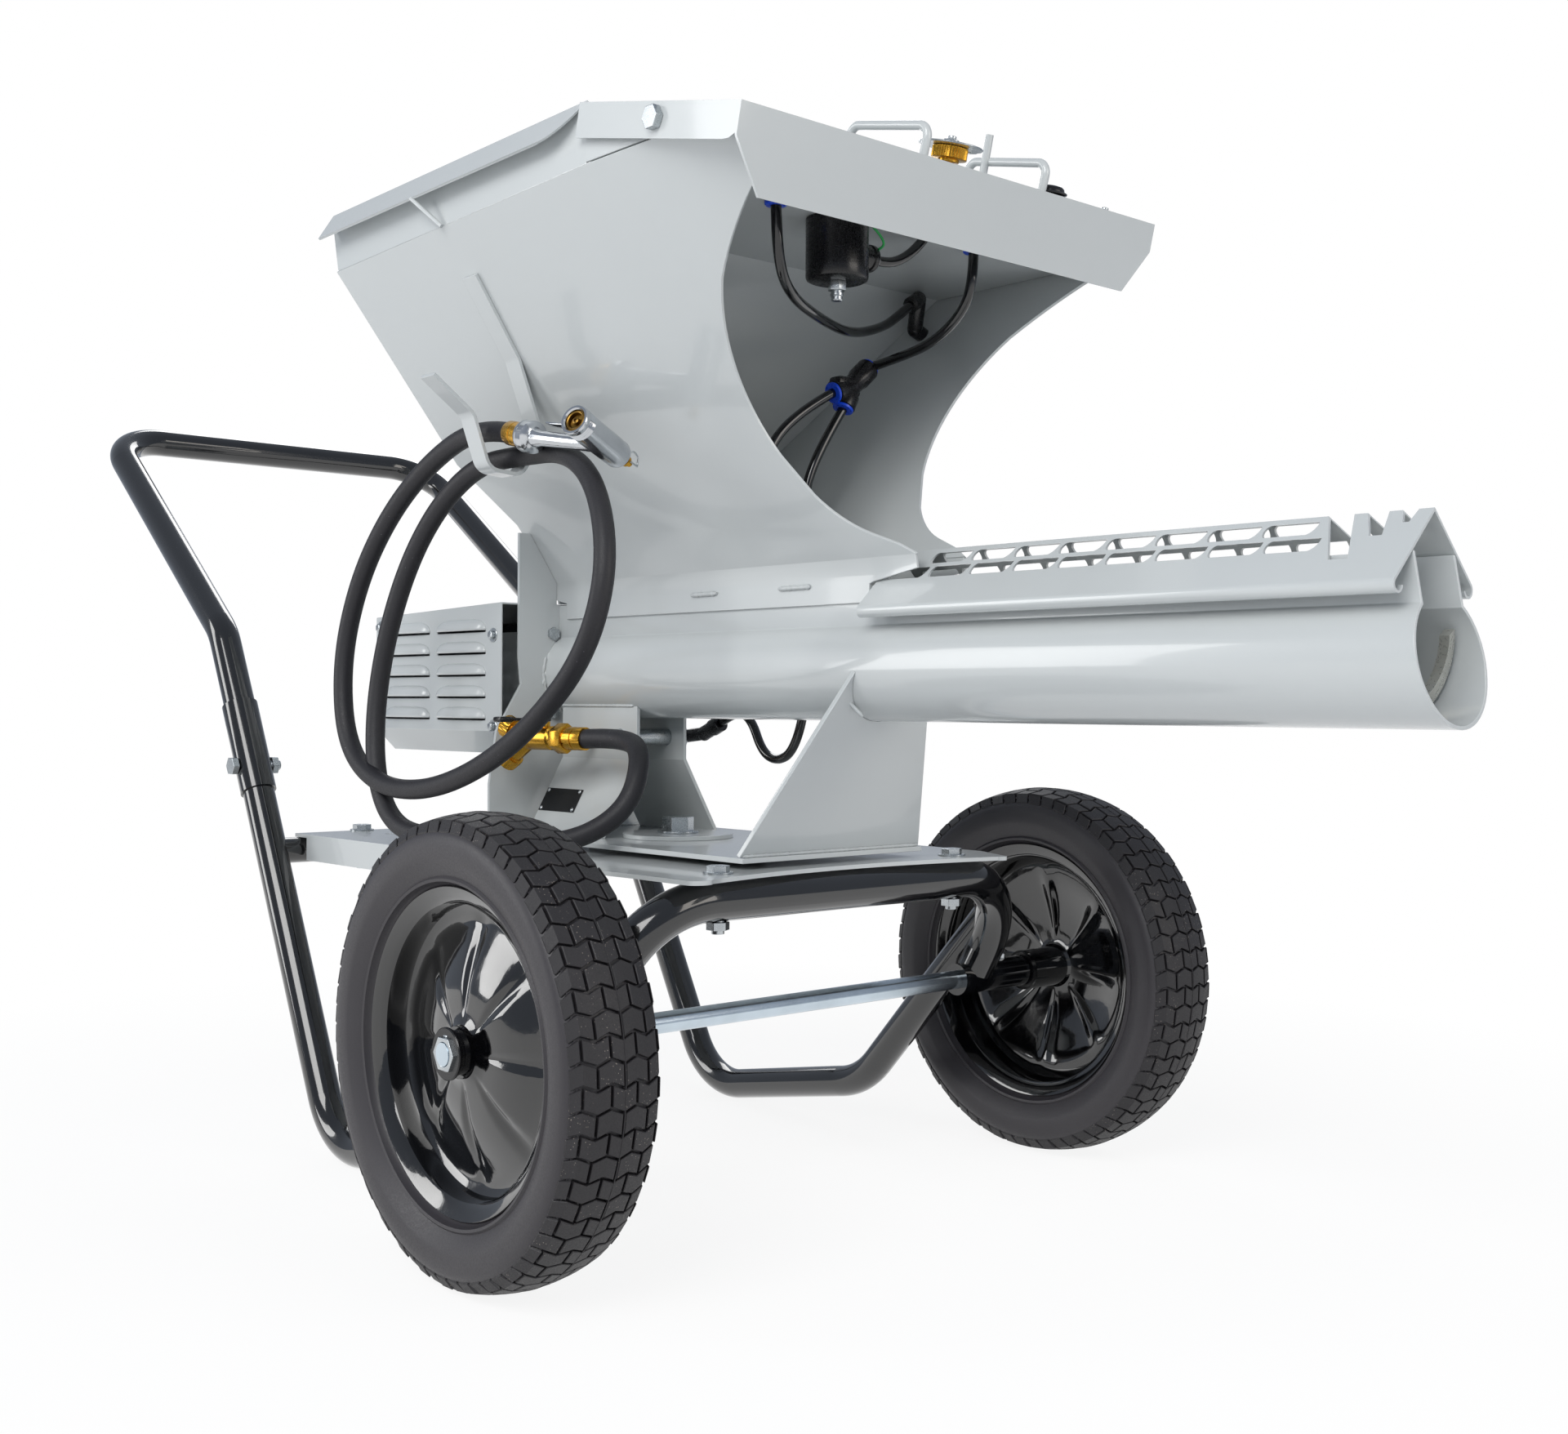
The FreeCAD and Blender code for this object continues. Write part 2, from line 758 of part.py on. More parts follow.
handle_bore, _ = round_bar(handle_path, handle_bends, (S.frame_radius - S.frame_wall).value)
sockets = []
for side in (-1, 1):
    foot = spot(socket_x, side * S.skid_y + side * (S.leg_top_y - S.skid_y) * 0.82, S.socket_z)
    head = spot(socket_top_x, side * S.leg_top_y, socket_top_z)
    axis = head - foot
    outside = Part.makeCylinder(S.socket_radius.value, axis.Length, foot, axis)
    sockets.append(outside)
handle_solid = handle_outside.fuse(sockets).removeSplitter()
leg_clear = (S.frame_radius + S.weld_gap).value
leg_points = [spot(S.skid_x, S.skid_y, S.skid_z), spot(S.leg_top_x, S.leg_top_y, S.leg_top_z)]
leg_axis = leg_points[1] - leg_points[0]
leg_room = Part.makeCylinder(leg_clear, leg_axis.Length + 0.2, leg_points[0], leg_axis)
leg_twin = leg_room.mirror(Vector(0, 0, 0), Vector(0, 1, 0))
handle_shape = feature("handle_shape", handle_solid.cut([handle_bore, leg_room, leg_twin]))
handle_bolt_holes = [
    rod("Y", handle_bolt_x, side, handle_bolt_z, bolt_bore, 120) for side in (S.leg_top_y - 60, -S.leg_top_y - 60)
]
node("handle", cut(handle_shape, *handle_bolt_holes))
right_handle_bolt = bolt(
    "Y", handle_bolt_x, S.leg_top_y + S.socket_radius + 1, handle_bolt_z, S.socket_radius * 2 + 1.4)
node("handle_bolts", group(right_handle_bolt, mirrored(right_handle_bolt)))

# Deck
deck_low = S.deck_top - S.deck_sheet
deck = prism("XY", deck_low, S.deck_top, [
    (S.deck_rear, -S.deck_half), (S.deck_flange_front, -S.deck_half),
    (S.lobe_x - 80, -S.deck_half + 6), (S.lobe_x - 6, -S.left_lobe_y - 14),
    (S.lobe_x + 2, -S.left_lobe_y - 4, "arc"), (S.lobe_x - 3, -S.left_lobe_y + 12),
    (S.deck_front - 20, 0, "arc"), (S.lobe_x - 3, S.right_lobe_y - 8),
    (S.lobe_x + 1, S.right_lobe_y, "arc"), (S.lobe_x - 5, S.right_lobe_y + 5),
    (S.lobe_x - 62, S.deck_half - 4), (S.deck_flange_front, S.deck_half), (S.deck_rear, S.deck_half),
], [
    (S.pivot_x, 0, S.pivot_bolt_radius + 0.2),
    *[(S.arch_x, side * S.front_bolt_y, bolt_bore) for side in (-1, 1)],
    *[(S.tie_x, side * S.rear_bolt_y, bolt_bore) for side in (-1, 1)],
    *[(S.tie_x + 70, side * S.rear_bolt_y, bolt_bore) for side in (-1, 1)],
])
for side in (-1, 1):
    edges = (S.deck_half * side, (S.deck_half - S.deck_sheet) * side)
    pad(deck, "XY", S.deck_top - S.deck_flange, deck_low, [
        (S.tie_x + S.tie_radius + 6, edges[0]), (S.deck_flange_front, edges[0]),
        (S.deck_flange_front, edges[1]), (S.tie_x + S.tie_radius + 6, edges[1]),
    ])
node("deck", deck)
node("deck_bolts", group(*[
    bolt("Z", x, side * y, S.deck_top, reach)
    for side in (-1, 1)
    for x, y, reach in (
        (S.arch_x, S.front_bolt_y, S.deck_sheet + S.arch_radius * 2),
        (S.tie_x, S.rear_bolt_y, S.deck_sheet + S.tie_radius * 2),
    )
]))

# Swivel
base_low = S.deck_top + S.bearing_gap
base_top = base_low + S.base_sheet
node("swivel_bearing", cut(
    rod("Z", S.pivot_x, 0, S.deck_top, S.bearing_radius, S.bearing_gap - S.running_gap),
    rod("Z", S.pivot_x, 0, S.deck_top - 1, S.pivot_bolt_radius + 0.2, S.bearing_gap + 2),
))
disc_low = base_top + S.running_gap
node("pivot_disc", cut(
    rod("Z", S.pivot_x, 0, disc_low, S.pivot_disc_radius, S.pivot_disc_sheet),
    rod("Z", S.pivot_x, 0, disc_low - 1, S.pivot_bolt_radius + 0.2, S.pivot_disc_sheet + 2),
))
disc_top = disc_low + S.pivot_disc_sheet
node("pivot_bolt", fused(
    rod("Z", S.pivot_x, 0, disc_top, 22, 2.5),
    hexagon("Z", S.pivot_x, 0, disc_top + 2.5, S.pivot_flats, S.pivot_head),
    rod("Z", S.pivot_x, 0, deck_low - 16, S.pivot_bolt_radius, disc_top - deck_low + 18),
    hexagon("Z", S.pivot_x, 0, deck_low - 12, S.pivot_flats, 12),
))
node("turret_base", prism("XY", base_low, base_top, [
    (S.base_rear, -S.base_half), (S.base_front, -S.support_foot_half),
    (S.base_front, S.support_foot_half), (S.base_rear, S.base_half),
], [(S.pivot_x, 0, S.pivot_bolt_radius + S.running_gap)]))

# Trough
tube_low = S.tube_z - S.tube_radius
cheek_in = S.cheek_half - S.tube_wall
bore = S.tube_radius - S.tube_wall
shoulder = S.tube_z + root(S.tube_radius * S.tube_radius - S.cheek_half * S.cheek_half)
inner_shoulder = S.tube_z + root(bore * bore - cheek_in * cheek_in)
mouth_low_x = S.mouth_x + S.mouth_rake * (S.cheek_top - tube_low)
trough = prism("YZ", S.trough_rear, mouth_low_x, [
    (S.cheek_half, S.cheek_top), (S.cheek_half, shoulder), (0, tube_low, "arc"),
    (-S.cheek_half, shoulder), (-S.cheek_half, S.cheek_top), (-cheek_in, S.cheek_top),
    (-cheek_in, inner_shoulder), (0, S.tube_z - bore, "arc"), (cheek_in, inner_shoulder), (cheek_in, S.cheek_top),
])
pocket(trough, "XZ", -S.tube_radius - 5, S.tube_radius + 5, [
    (S.mouth_x, S.cheek_top + 0.01), (mouth_low_x, tube_low), (mouth_low_x + 5, tube_low),
    (mouth_low_x + 5, S.cheek_top + 0.01),
])
tube_room = rod("X", S.trough_rear - 10, 0, S.tube_z, S.tube_radius + S.weld_gap, mouth_low_x - S.trough_rear)
node("trough", trough)

# Back plate and the brackets under the trough
wing_z = S.wing_root_z - S.wing_root_y / S.wing_slope
strip_in = S.cheek_half + S.weld_gap
strip_out = strip_in + S.wing_sheet
kink_z = wing_z + strip_out / S.wing_slope
clear = 0.4
back_low_x = S.trough_rear - S.plate_sheet
head_half = (S.back_top + 5 - wing_z) * S.wing_slope + clear
gearbox_spots = [
    (side * S.gearbox_bolt_y, S.tube_z + way * S.gearbox_bolt_rise) for side in (-1, 1) for way in (-1, 1)
]
back_plate = prism("YZ", back_low_x, S.trough_rear, [
    (-S.base_half, base_top), (S.base_half, base_top), (S.base_half, S.back_foot_z),
    (S.back_slope_half, S.back_slope_z), (S.back_half - 3, S.back_neck_z), (S.back_half, S.back_neck_z + 30),
    (S.back_half, S.back_top), (-S.back_half, S.back_top), (-S.back_half, S.back_neck_z + 30),
    (-S.back_half + 3, S.back_neck_z), (-S.back_slope_half, S.back_slope_z), (-S.base_half, S.back_foot_z),
], [(0, S.tube_z, S.shaft_radius + 6), *[(y, z, S.gearbox_bolt_radius + S.weld_gap) for y, z in gearbox_spots]])
pocket(back_plate, "YZ", back_low_x - 1, S.trough_rear + 1, [
    (-strip_out - clear, S.cheek_top + 1.5), (strip_out + clear, S.cheek_top + 1.5), (strip_out + clear, kink_z),
    (head_half, S.back_top + 5), (-head_half, S.back_top + 5), (-strip_out - clear, kink_z),
])
node("back_plate", back_plate)

right_bracket_sheet = prism("YZ", S.bracket_rear, S.bracket_front, [
    (S.bracket_y, S.tube_z - 30), (S.bracket_y, S.bracket_bend_z), (S.bracket_foot_y, base_top),
    (S.bracket_foot_y - S.plate_sheet * 1.15, base_top),
    (S.bracket_y - S.plate_sheet, S.bracket_bend_z - 1.1), (S.bracket_y - S.plate_sheet, S.tube_z - 30),
])
pipe_hole = rod("Y", S.pipe_x, 20, S.pipe_z, S.pipe_radius + S.weld_gap, 30)
right_bracket = cut(right_bracket_sheet, tube_room, pipe_hole)
node("right_bracket", right_bracket)
node("left_bracket", mirrored(right_bracket))

lean_length = root(S.support_lean * S.support_lean + 1)
support_run = (S.support_top - base_top) * lean_length
support_body = new_body()
leaning_pad(support_body, "YZ", (0, base_top + S.weld_gap, S.axle_x + S.support_x), arctan(S.support_lean), [
    (-S.support_foot_half, 0), (S.support_foot_half, 0),
    (S.support_head_half, support_run), (-S.support_head_half, support_run),
], S.support_sheet, back=True)
node("front_support", cut(support_body, tube_room))

# Guard over the open trough
guard_slope = (S.guard_ridge - S.guard_hem_z) / S.guard_hem_y
guard_drop = S.guard_sheet * root(guard_slope * guard_slope + 1)
guard = prism("YZ", S.guard_rear, S.mouth_x, [
    (0, S.guard_ridge), (S.guard_hem_y, S.guard_hem_z), (S.guard_hem_y - 1.7, S.guard_hem_z - 10.5, "arc"),
    (S.guard_hem_y - 11, S.guard_hem_z - 5.4), (S.guard_hem_y - 9, S.guard_hem_z - 5.2),
    (S.guard_hem_y - 2.5, S.guard_hem_z - 8.7, "arc"), (S.guard_hem_y - 1.4, S.guard_hem_z - 1.5),
    (0, S.guard_ridge - guard_drop), (-S.guard_hem_y + 1.4, S.guard_hem_z - 1.5),
    (-S.guard_hem_y + 2.5, S.guard_hem_z - 8.7, "arc"), (-S.guard_hem_y + 9, S.guard_hem_z - 5.2),
    (-S.guard_hem_y + 11, S.guard_hem_z - 5.4), (-S.guard_hem_y + 1.7, S.guard_hem_z - 10.5, "arc"),
    (-S.guard_hem_y, S.guard_hem_z),
])
side_low, side_high = -S.guard_hem_y - 5, S.guard_hem_y + 5
above = S.guard_ridge + 3
for top_rear, top_front, low_rear, low_front, drop in (
    (0, 22, 24, 40, 36), (32.6, 51, 46.6, 57, 19), (61, 76, 68, 73, 10),
):
    pocket(guard, "XZ", side_low, side_high, [
        (S.teeth_x + top_rear, above), (S.teeth_x + low_rear, S.guard_ridge - drop),
        (S.teeth_x + low_front, S.guard_ridge - drop), (S.teeth_x + top_front, above),
    ])
for row_drop, indent, count in ((14.3, 40, 8), (27.8, 0, 9)):
    row_z = S.guard_ridge - row_drop
    first_x = S.guard_rear + 12 + indent
    slot = pocket(guard, "XZ", side_low, side_high, [
        (first_x + 3, row_z), (first_x + S.slot_length - 5, row_z),
        (first_x + S.slot_length, row_z + S.slot_height * 0.4, "arc"),
        (first_x + S.slot_length + 1, row_z + S.slot_height), (first_x + 5, row_z + S.slot_height),
        (first_x, row_z + S.slot_height * 0.5, "arc"),
    ])
    repeat(slot, S.slot_pitch, count)
node("trough_guard", guard)

# Auger: a shaft with one helical flight round it, which ends in an open ribbon
ribbon_rear = S.auger_front - S.ribbon_length
shaft = fused(
    rod("X", S.auger_rear, 0, S.tube_z, S.shaft_radius, ribbon_rear - S.auger_rear + 20),
    rod("X", S.gearbox_front - 18, 0, S.tube_z, S.shaft_radius - 4, S.auger_rear - S.gearbox_front + 20),
)


def helical(start_x, end_x, root_radius, sheet):
    """A run of the flight; every run has the same pitch and would end at the tip's angle."""
    inner, edge, half_sheet = root_radius.value, S.auger_radius.value, sheet.value / 2
    maker = Part.BRepOffsetAPI.MakePipeShell(Part.makeHelix(S.flight_pitch.value, (end_x - start_x).value, inner))
    maker.setFrenetMode(True)
    maker.add(Part.makePolygon([
        Vector(inner, 0, -half_sheet), Vector(edge, 0, -half_sheet), Vector(edge, 0, half_sheet),
        Vector(inner, 0, half_sheet), Vector(inner, 0, -half_sheet),
    ]))
    maker.build()
    maker.makeSolid()
    turn = S.tip_angle.value - 360 * ((S.auger_front - start_x) / S.flight_pitch).value
    flight = feature("flight", maker.shape())
    flight.Placement = Placement(spot(start_x, 0, S.tube_z), ALONG["X"] * Rotation(Vector(0, 0, 1), turn))
    return flight


node("auger", group(
    shaft,
    helical(S.auger_rear + 8, ribbon_rear - 0.03, S.shaft_radius + 0.1, S.flight_sheet),
    helical(ribbon_rear, S.auger_front, S.ribbon_root, S.ribbon_sheet),
))
bearing_bore = S.shaft_radius - 4 + S.running_gap
node("auger_bearing", cut(
    fused(
        rod("X", S.trough_rear - S.plate_sheet - 6, 0, S.tube_z, S.bearing_flange, 6),
        rod("X", S.trough_rear - S.plate_sheet, 0, S.tube_z, S.shaft_radius + 5.5, S.plate_sheet + 5),
    ),
    rod("X", S.trough_rear - 30, 0, S.tube_z, bearing_bore, 60),
))

# Hopper side walls
slope_length = root(S.wing_slope * S.wing_slope + 1)


def up(z):
    """Distance up the side wall from its lower fold."""
    return (z - kink_z) * slope_length


def up_share(share):
    """Distance up the side wall at a share of the hopper's height."""
    return up(S.wing_root_z + (S.fold_front_z - S.wing_root_z) * share)


left_wing = new_body()
pad(left_wing, "XZ", -strip_out, -strip_in, [
    (S.skirt_rear, S.skirt_z), (S.skirt_front, S.skirt_z), (S.skirt_front, S.cheek_top + 1.5),
    (S.guard_rear, S.cheek_top + 3.5), (S.guard_rear + 56, S.cheek_top + 13), (S.guard_rear + 53, kink_z + 0.8),
    (S.rear_foot_x, kink_z + 0.8), (S.rear_foot_x, S.rear_foot_z), (S.skirt_rear, S.cheek_top + 1.5),
])
leaning_pad(left_wing, "XZ", (S.axle_x, kink_z, strip_out), arctan(S.wing_slope), [
    (S.rear_foot_x - 3, 0), (S.rear_low_x, up(S.rear_low_z)), (S.rear_mid_x, up(S.rear_mid_z)),
    (S.fold_rear_x, up(S.fold_rear_z)), (S.ridge_front_x, up(S.fold_front_z)), (S.band_front, up(S.fold_front_z)),
    (205, up_share(0.932)), (194, up_share(0.877)), (150, up_share(0.8141), "arc"), (99, up_share(0.7173)),
    (60, up_share(0.4974), "arc"), (69, up_share(0.3377)), (89, up_share(0.2435)),
    (112, up_share(0.1859), "arc"), (145, up_share(0.1414)), (169, up_share(0.1178)), (186, 0),
], S.wing_sheet, back=True)
node("left_wing", left_wing)
elbow_inside = (-38, 190, 904)
elbow_outside = (-45, 221, 898)
elbow_radius = 6
elbow_axis = spot(*elbow_outside) - spot(*elbow_inside)
elbow_hole = feature("elbow_hole", Part.makeCylinder(
    elbow_radius + 0.3, elbow_axis.Length, spot(*elbow_inside), elbow_axis))
node("right_wing", cut(mirrored(left_wing), elbow_hole))

# Band and outward lip along each side of the rim
lip_run = root(S.lip_out * S.lip_out + S.lip_down * S.lip_down)
across_y = S.lip_down / lip_run * S.band_sheet
across_z = S.lip_out / lip_run * S.band_sheet
lip_tip_x = S.ridge_front_x


def rim_profile(fold_z, ridge_z, lean):
    """The band from the fold up to the ridge, and the lip that turns out and down from it."""
    inner = S.band_half - S.band_sheet
    apex = S.band_half - 1
    crotch_z = ridge_z - (1 + across_y) * S.lip_down / S.lip_out - across_z
    return [
        (-inner + lean, fold_z + 1.85), (-inner, ridge_z - 1), (-apex, ridge_z),
        (-apex - S.lip_out, ridge_z - S.lip_down),
        (-apex - S.lip_out + across_y, ridge_z - S.lip_down - across_z),
        (-S.band_half, crotch_z + 2), (-S.band_half + lean, fold_z + 0.2),
    ]


rim_body = new_body()
fold_lean = (S.fold_front_z - S.fold_rear_z) * S.wing_slope
rear_section = draw(
    sketch_on(rim_body, "YZ", (0, 0, S.axle_x + S.ridge_rear_x)),
    rim_profile(S.fold_rear_z, S.ridge_rear_z, fold_lean),
)
front_section = draw(
    sketch_on(rim_body, "YZ", (0, 0, S.axle_x + S.ridge_front_x)),
    rim_profile(S.fold_front_z, S.ridge_front_z, size(0)),
)
rim_loft = rim_body.newObject("PartDesign::AdditiveLoft", "rim")
rim_loft.Profile = rear_section
rim_loft.Sections = [front_section]
rim_loft.Ruled = True
pocket(rim_body, "XZ", -S.band_half - S.lip_out - 9, -S.band_half - 0.5, [
    (lip_tip_x - 56, S.ridge_front_z - 45), (lip_tip_x - 56, S.ridge_front_z - S.lip_down - 1.5),
    (lip_tip_x - 18, S.ridge_front_z - 17, "arc"), (lip_tip_x + 3, S.ridge_front_z + 3),
    (lip_tip_x + 3, S.ridge_front_z - 45),
])

# Console slope
console_run = S.console_front_x - S.console_rear_x
console_drop = S.console_rear_z - S.console_front_z
console_slant = root(console_run * console_run + console_drop * console_drop)
ux, uz = console_run / console_slant, console_drop / console_slant
console_pitch = arctan(console_drop / console_run)


def console(along, below):
    """A point given by its distance along the console's slope from the rear edge and below its face."""
    return (S.console_rear_x + along * ux - below * uz, S.console_rear_z - along * uz - below * ux)


def on_console(x, above_face=0):
    """Height of the console's face at x, plus a distance square to it."""
    return S.console_rear_z - (x - S.console_rear_x) * (console_drop / console_run) + above_face / ux


sheet_in = S.console_sheet
under = S.console_sheet + 0.5
pad(rim_body, "XZ", -S.band_half, -S.band_half + S.band_sheet, [
    (S.ridge_front_x - 1, S.fold_front_z + 1.85), (S.band_front, S.fold_front_z + 1.85),
    (S.band_front, on_console(S.band_front, -under)), (S.console_rear_x - 0.3, on_console(S.console_rear_x, -under)),
    (S.ridge_front_x - 1, S.ridge_front_z - 4),
])
console_bolt_room = rod("Y", S.console_bolt_x, -S.console_half - 40, S.console_bolt_z, bolt_bore, 80)
left_lip = cut(rim_body, console_bolt_room)
node("left_lip", left_lip)
node("right_lip", mirrored(left_lip))

# Rear and front walls between the side walls
rear_wall = prism("XZ", -S.band_half + 2, S.band_half - 2, [
    (S.ridge_rear_x, S.ridge_rear_z - 1), (S.fold_rear_x, S.fold_rear_z), (S.rear_mid_x, S.rear_mid_z),
    (S.rear_low_x, S.rear_low_z), (S.rear_foot_x, S.rear_foot_z), (S.rear_foot_x + 1, S.cheek_top + 2),
    (S.rear_foot_x + 4, S.cheek_top + 2), (S.rear_foot_x + 3.5, S.rear_foot_z + 1),
    (S.rear_low_x + 3, S.rear_low_z - 1), (S.rear_mid_x + 3, S.rear_mid_z - 1),
    (S.fold_rear_x + 3, S.fold_rear_z), (S.ridge_rear_x + 3, S.ridge_rear_z - 1),
])
inner_face = S.wing_sheet * slope_length + S.weld_gap * 2


def inside_half(z):
    """Half the clear width between the side walls at a height."""
    return (z - wing_z) * S.wing_slope - inner_face


def trim_to_wings(body, rear_x, front_x, band_low):
    """Takes away what lies outside the side walls and the bands."""
    for side in (-1, 1):
        pocket(body, "YZ", rear_x, front_x, [
            (side * (S.cheek_half - 0.6), S.cheek_top - 30),
            (side * (S.cheek_half - 0.6), wing_z + (S.cheek_half - 0.6 + inner_face) / S.wing_slope),
            (side * inside_half(S.fold_rear_z - 1), S.fold_rear_z - 1),
            (side * band_low, S.fold_rear_z + 3), (side * (S.band_half - 3), S.ridge_rear_z),
            (side * (S.band_half - 3), 1100), (side * 320, 1100), (side * 320, S.cheek_top - 30),
        ])


trim_to_wings(rear_wall, size(-530), size(-380), S.band_half - fold_lean - 3.5)
node("rear_wall", rear_wall)


def front_wall_at(z):
    return S.front_wall_x + (z - S.front_wall_z) * S.front_wall_lean


front_sheet = S.wing_sheet * 1.3
front_wall = prism("XZ", -S.band_half + 2, S.band_half - 2, [
    (front_wall_at(S.front_wall_foot), S.front_wall_foot), (front_wall_at(S.front_wall_head), S.front_wall_head),
    (front_wall_at(S.front_wall_head) - front_sheet, S.front_wall_head),
    (front_wall_at(S.front_wall_foot) - front_sheet, S.front_wall_foot),
])
trim_to_wings(front_wall, size(-340), size(40), S.band_half - 10)
node("front_wall", front_wall)

# Console cover
console_cover = prism("XZ", -S.console_half, S.console_half, [
    console(0, 0), console(console_slant, 0), console(console_slant, S.apron),
    console(console_slant - sheet_in, S.apron), console(console_slant - sheet_in, sheet_in), console(0, sheet_in),
])
low_corner_z = console(console_slant, S.apron)[1]
side_corner_z = console(console_slant, S.apron_side)[1]
for side in (-1, 1):
    pocket(console_cover, "YZ", S.console_front_x - 25, S.console_front_x + 3, [
        (side * (S.console_half + 1), side_corner_z), (side * S.apron_foot_half, low_corner_z - 1),
        (side * (S.console_half + 1), low_corner_z - 1),
    ])
for low, high in (
    (-S.console_half, -S.console_half + sheet_in),
    (S.console_half - sheet_in, S.console_half),
):
    pad(console_cover, "XZ", low, high, [
        console(0, 0), console(console_slant - sheet_in / 2, 0), console(console_slant - sheet_in, S.apron_side),
        console(console_slant - 10, S.flange_depth - 1), console(console_slant - 18, S.flange_depth),
        console(0, S.flange_depth),
    ])
knob_z = on_console(S.knob_x)
switch_z = on_console(S.switch_x)
console_holes = [
    rod("Z", S.knob_x - 12 * uz, S.knob_y, knob_z - 12 * ux, S.stem_radius + S.running_gap, 24, console_pitch),
    rod("Z", S.switch_x - 12 * uz, S.switch_y, switch_z - 12 * ux, 9.3, 24, console_pitch),
]
node("console_cover", cut(console_cover, console_bolt_room, mirrored(console_bolt_room), *console_holes))
right_console_bolt = bolt(
    "Y", S.console_bolt_x, S.console_half, S.console_bolt_z, S.console_half - S.band_half + S.band_sheet)
node("console_bolts", group(right_console_bolt, mirrored(right_console_bolt)))

tray_top = S.tray_z + S.tray_sheet
tray_half = inside_half(S.tray_z)
fitting_holes = [(130, -155), (137, 93)]
node("console_tray", prism("XY", S.tray_z, tray_top, [
    (front_wall_at(tray_top) + 0.4, -tray_half), (195, -tray_half), (205.5, -S.apron_foot_half + 18),
    (205.5, S.apron_foot_half - 18), (195, tray_half), (front_wall_at(tray_top) + 0.4, tray_half),
], [(x, y, size(6.3)) for x, y in fitting_holes]))

# Bails and post over the controls
bails = []
for y in (S.left_bail_y, S.right_bail_y):
    corners = [
        (S.bail_rear_x, 0), (S.bail_rear_x + 2, S.bail_rise), (S.bail_front_x + 2, S.bail_rise), (S.bail_front_x, 0),
    ]
    path = [
        spot(x + rise * uz, y, on_console(x) + rise * ux) for x, rise in corners
    ]
    bar, _ = round_bar(path, [S.bail_bend.value] * 2, S.bail_radius.value)
    bails.append(feature("bail", bar))
post = rod("Z", S.post_x, S.post_y, on_console(S.post_x), 4, S.post_length, console_pitch)
node("bails", group(cut(bails[0], console_cover), cut(bails[1], console_cover), cut(post, console_cover)))

# Flow knob, turning about the console's normal
def normal_rod(x, y, rise, radius, length):
    return rod("Z", x + rise * uz, y, on_console(x) + rise * ux, radius, length, console_pitch)


knob = fused(
    normal_rod(S.knob_x, S.knob_y, size(-14), S.stem_radius, S.knob_rise + 15),
    normal_rod(S.knob_x, S.knob_y, S.knob_rise, S.knob_radius, S.knob_length),
    normal_rod(S.knob_x, S.knob_y, S.knob_rise + S.knob_length, S.disc_radius, S.disc_sheet),
)
node("flow_knob", knob)
node("flow_valve", cut(
    normal_rod(S.knob_x, S.knob_y, size(-30), 11, 27),
    normal_rod(S.knob_x, S.knob_y, size(-15), S.stem_radius + S.running_gap, 14),
))
node("switch_boot", fused(
    normal_rod(S.switch_x, S.switch_y, S.switch_rise - 3.5, S.switch_radius, size(3.5)),
    normal_rod(S.switch_x, S.switch_y, size(-12), 8.8, S.switch_rise + 9),
))

# Solenoid valve and the water fittings in the recess
node("solenoid_valve", fused(
    rod("Z", S.coil_x, S.coil_y, S.coil_foot, S.coil_radius, S.tray_z - S.coil_foot),
    hexagon("Z", S.coil_x, S.coil_y, S.coil_foot - 8, 15, 8),
    rod("Z", S.coil_x, S.coil_y, S.coil_foot - 18, 6, 12),
    rod("Y", S.coil_x, S.coil_y + 20, S.coil_foot + 26, 11, 26),
))


def fitting(x, y):
    """A push-in fitting through the tray, with its collar below."""
    return fused(
        rod("Z", x, y, S.tray_z - 4, 8, 4),
        rod("Z", x, y, S.tray_z - 0.5, 6, S.tray_sheet + 10),
    )


node("push_fittings", group(*[fitting(x, y) for x, y in fitting_holes]))


# Thin water tubes in the recess and behind the trough
def straight(start, end, radius):
    """A round solid from one point to another."""
    axis = end - start
    return Part.makeCylinder(radius, axis.Length, start, axis)


def soft_tube(name, points, radius):
    """A tube through hand-chosen points; its arcs are as large as its runs allow."""
    bar, radii = round_bar([spot(*point) for point in points], None, radius)
    length = bar.Volume / math.pi / radius ** 2
    print(name, "is", round(length), "long, its smallest radius", round(min(radii)))
    room, _ = round_bar([spot(*point) for point in points], None, radius + 0.15)
    rooms.append(feature(name + "_room", room))
    return feature(name, bar)


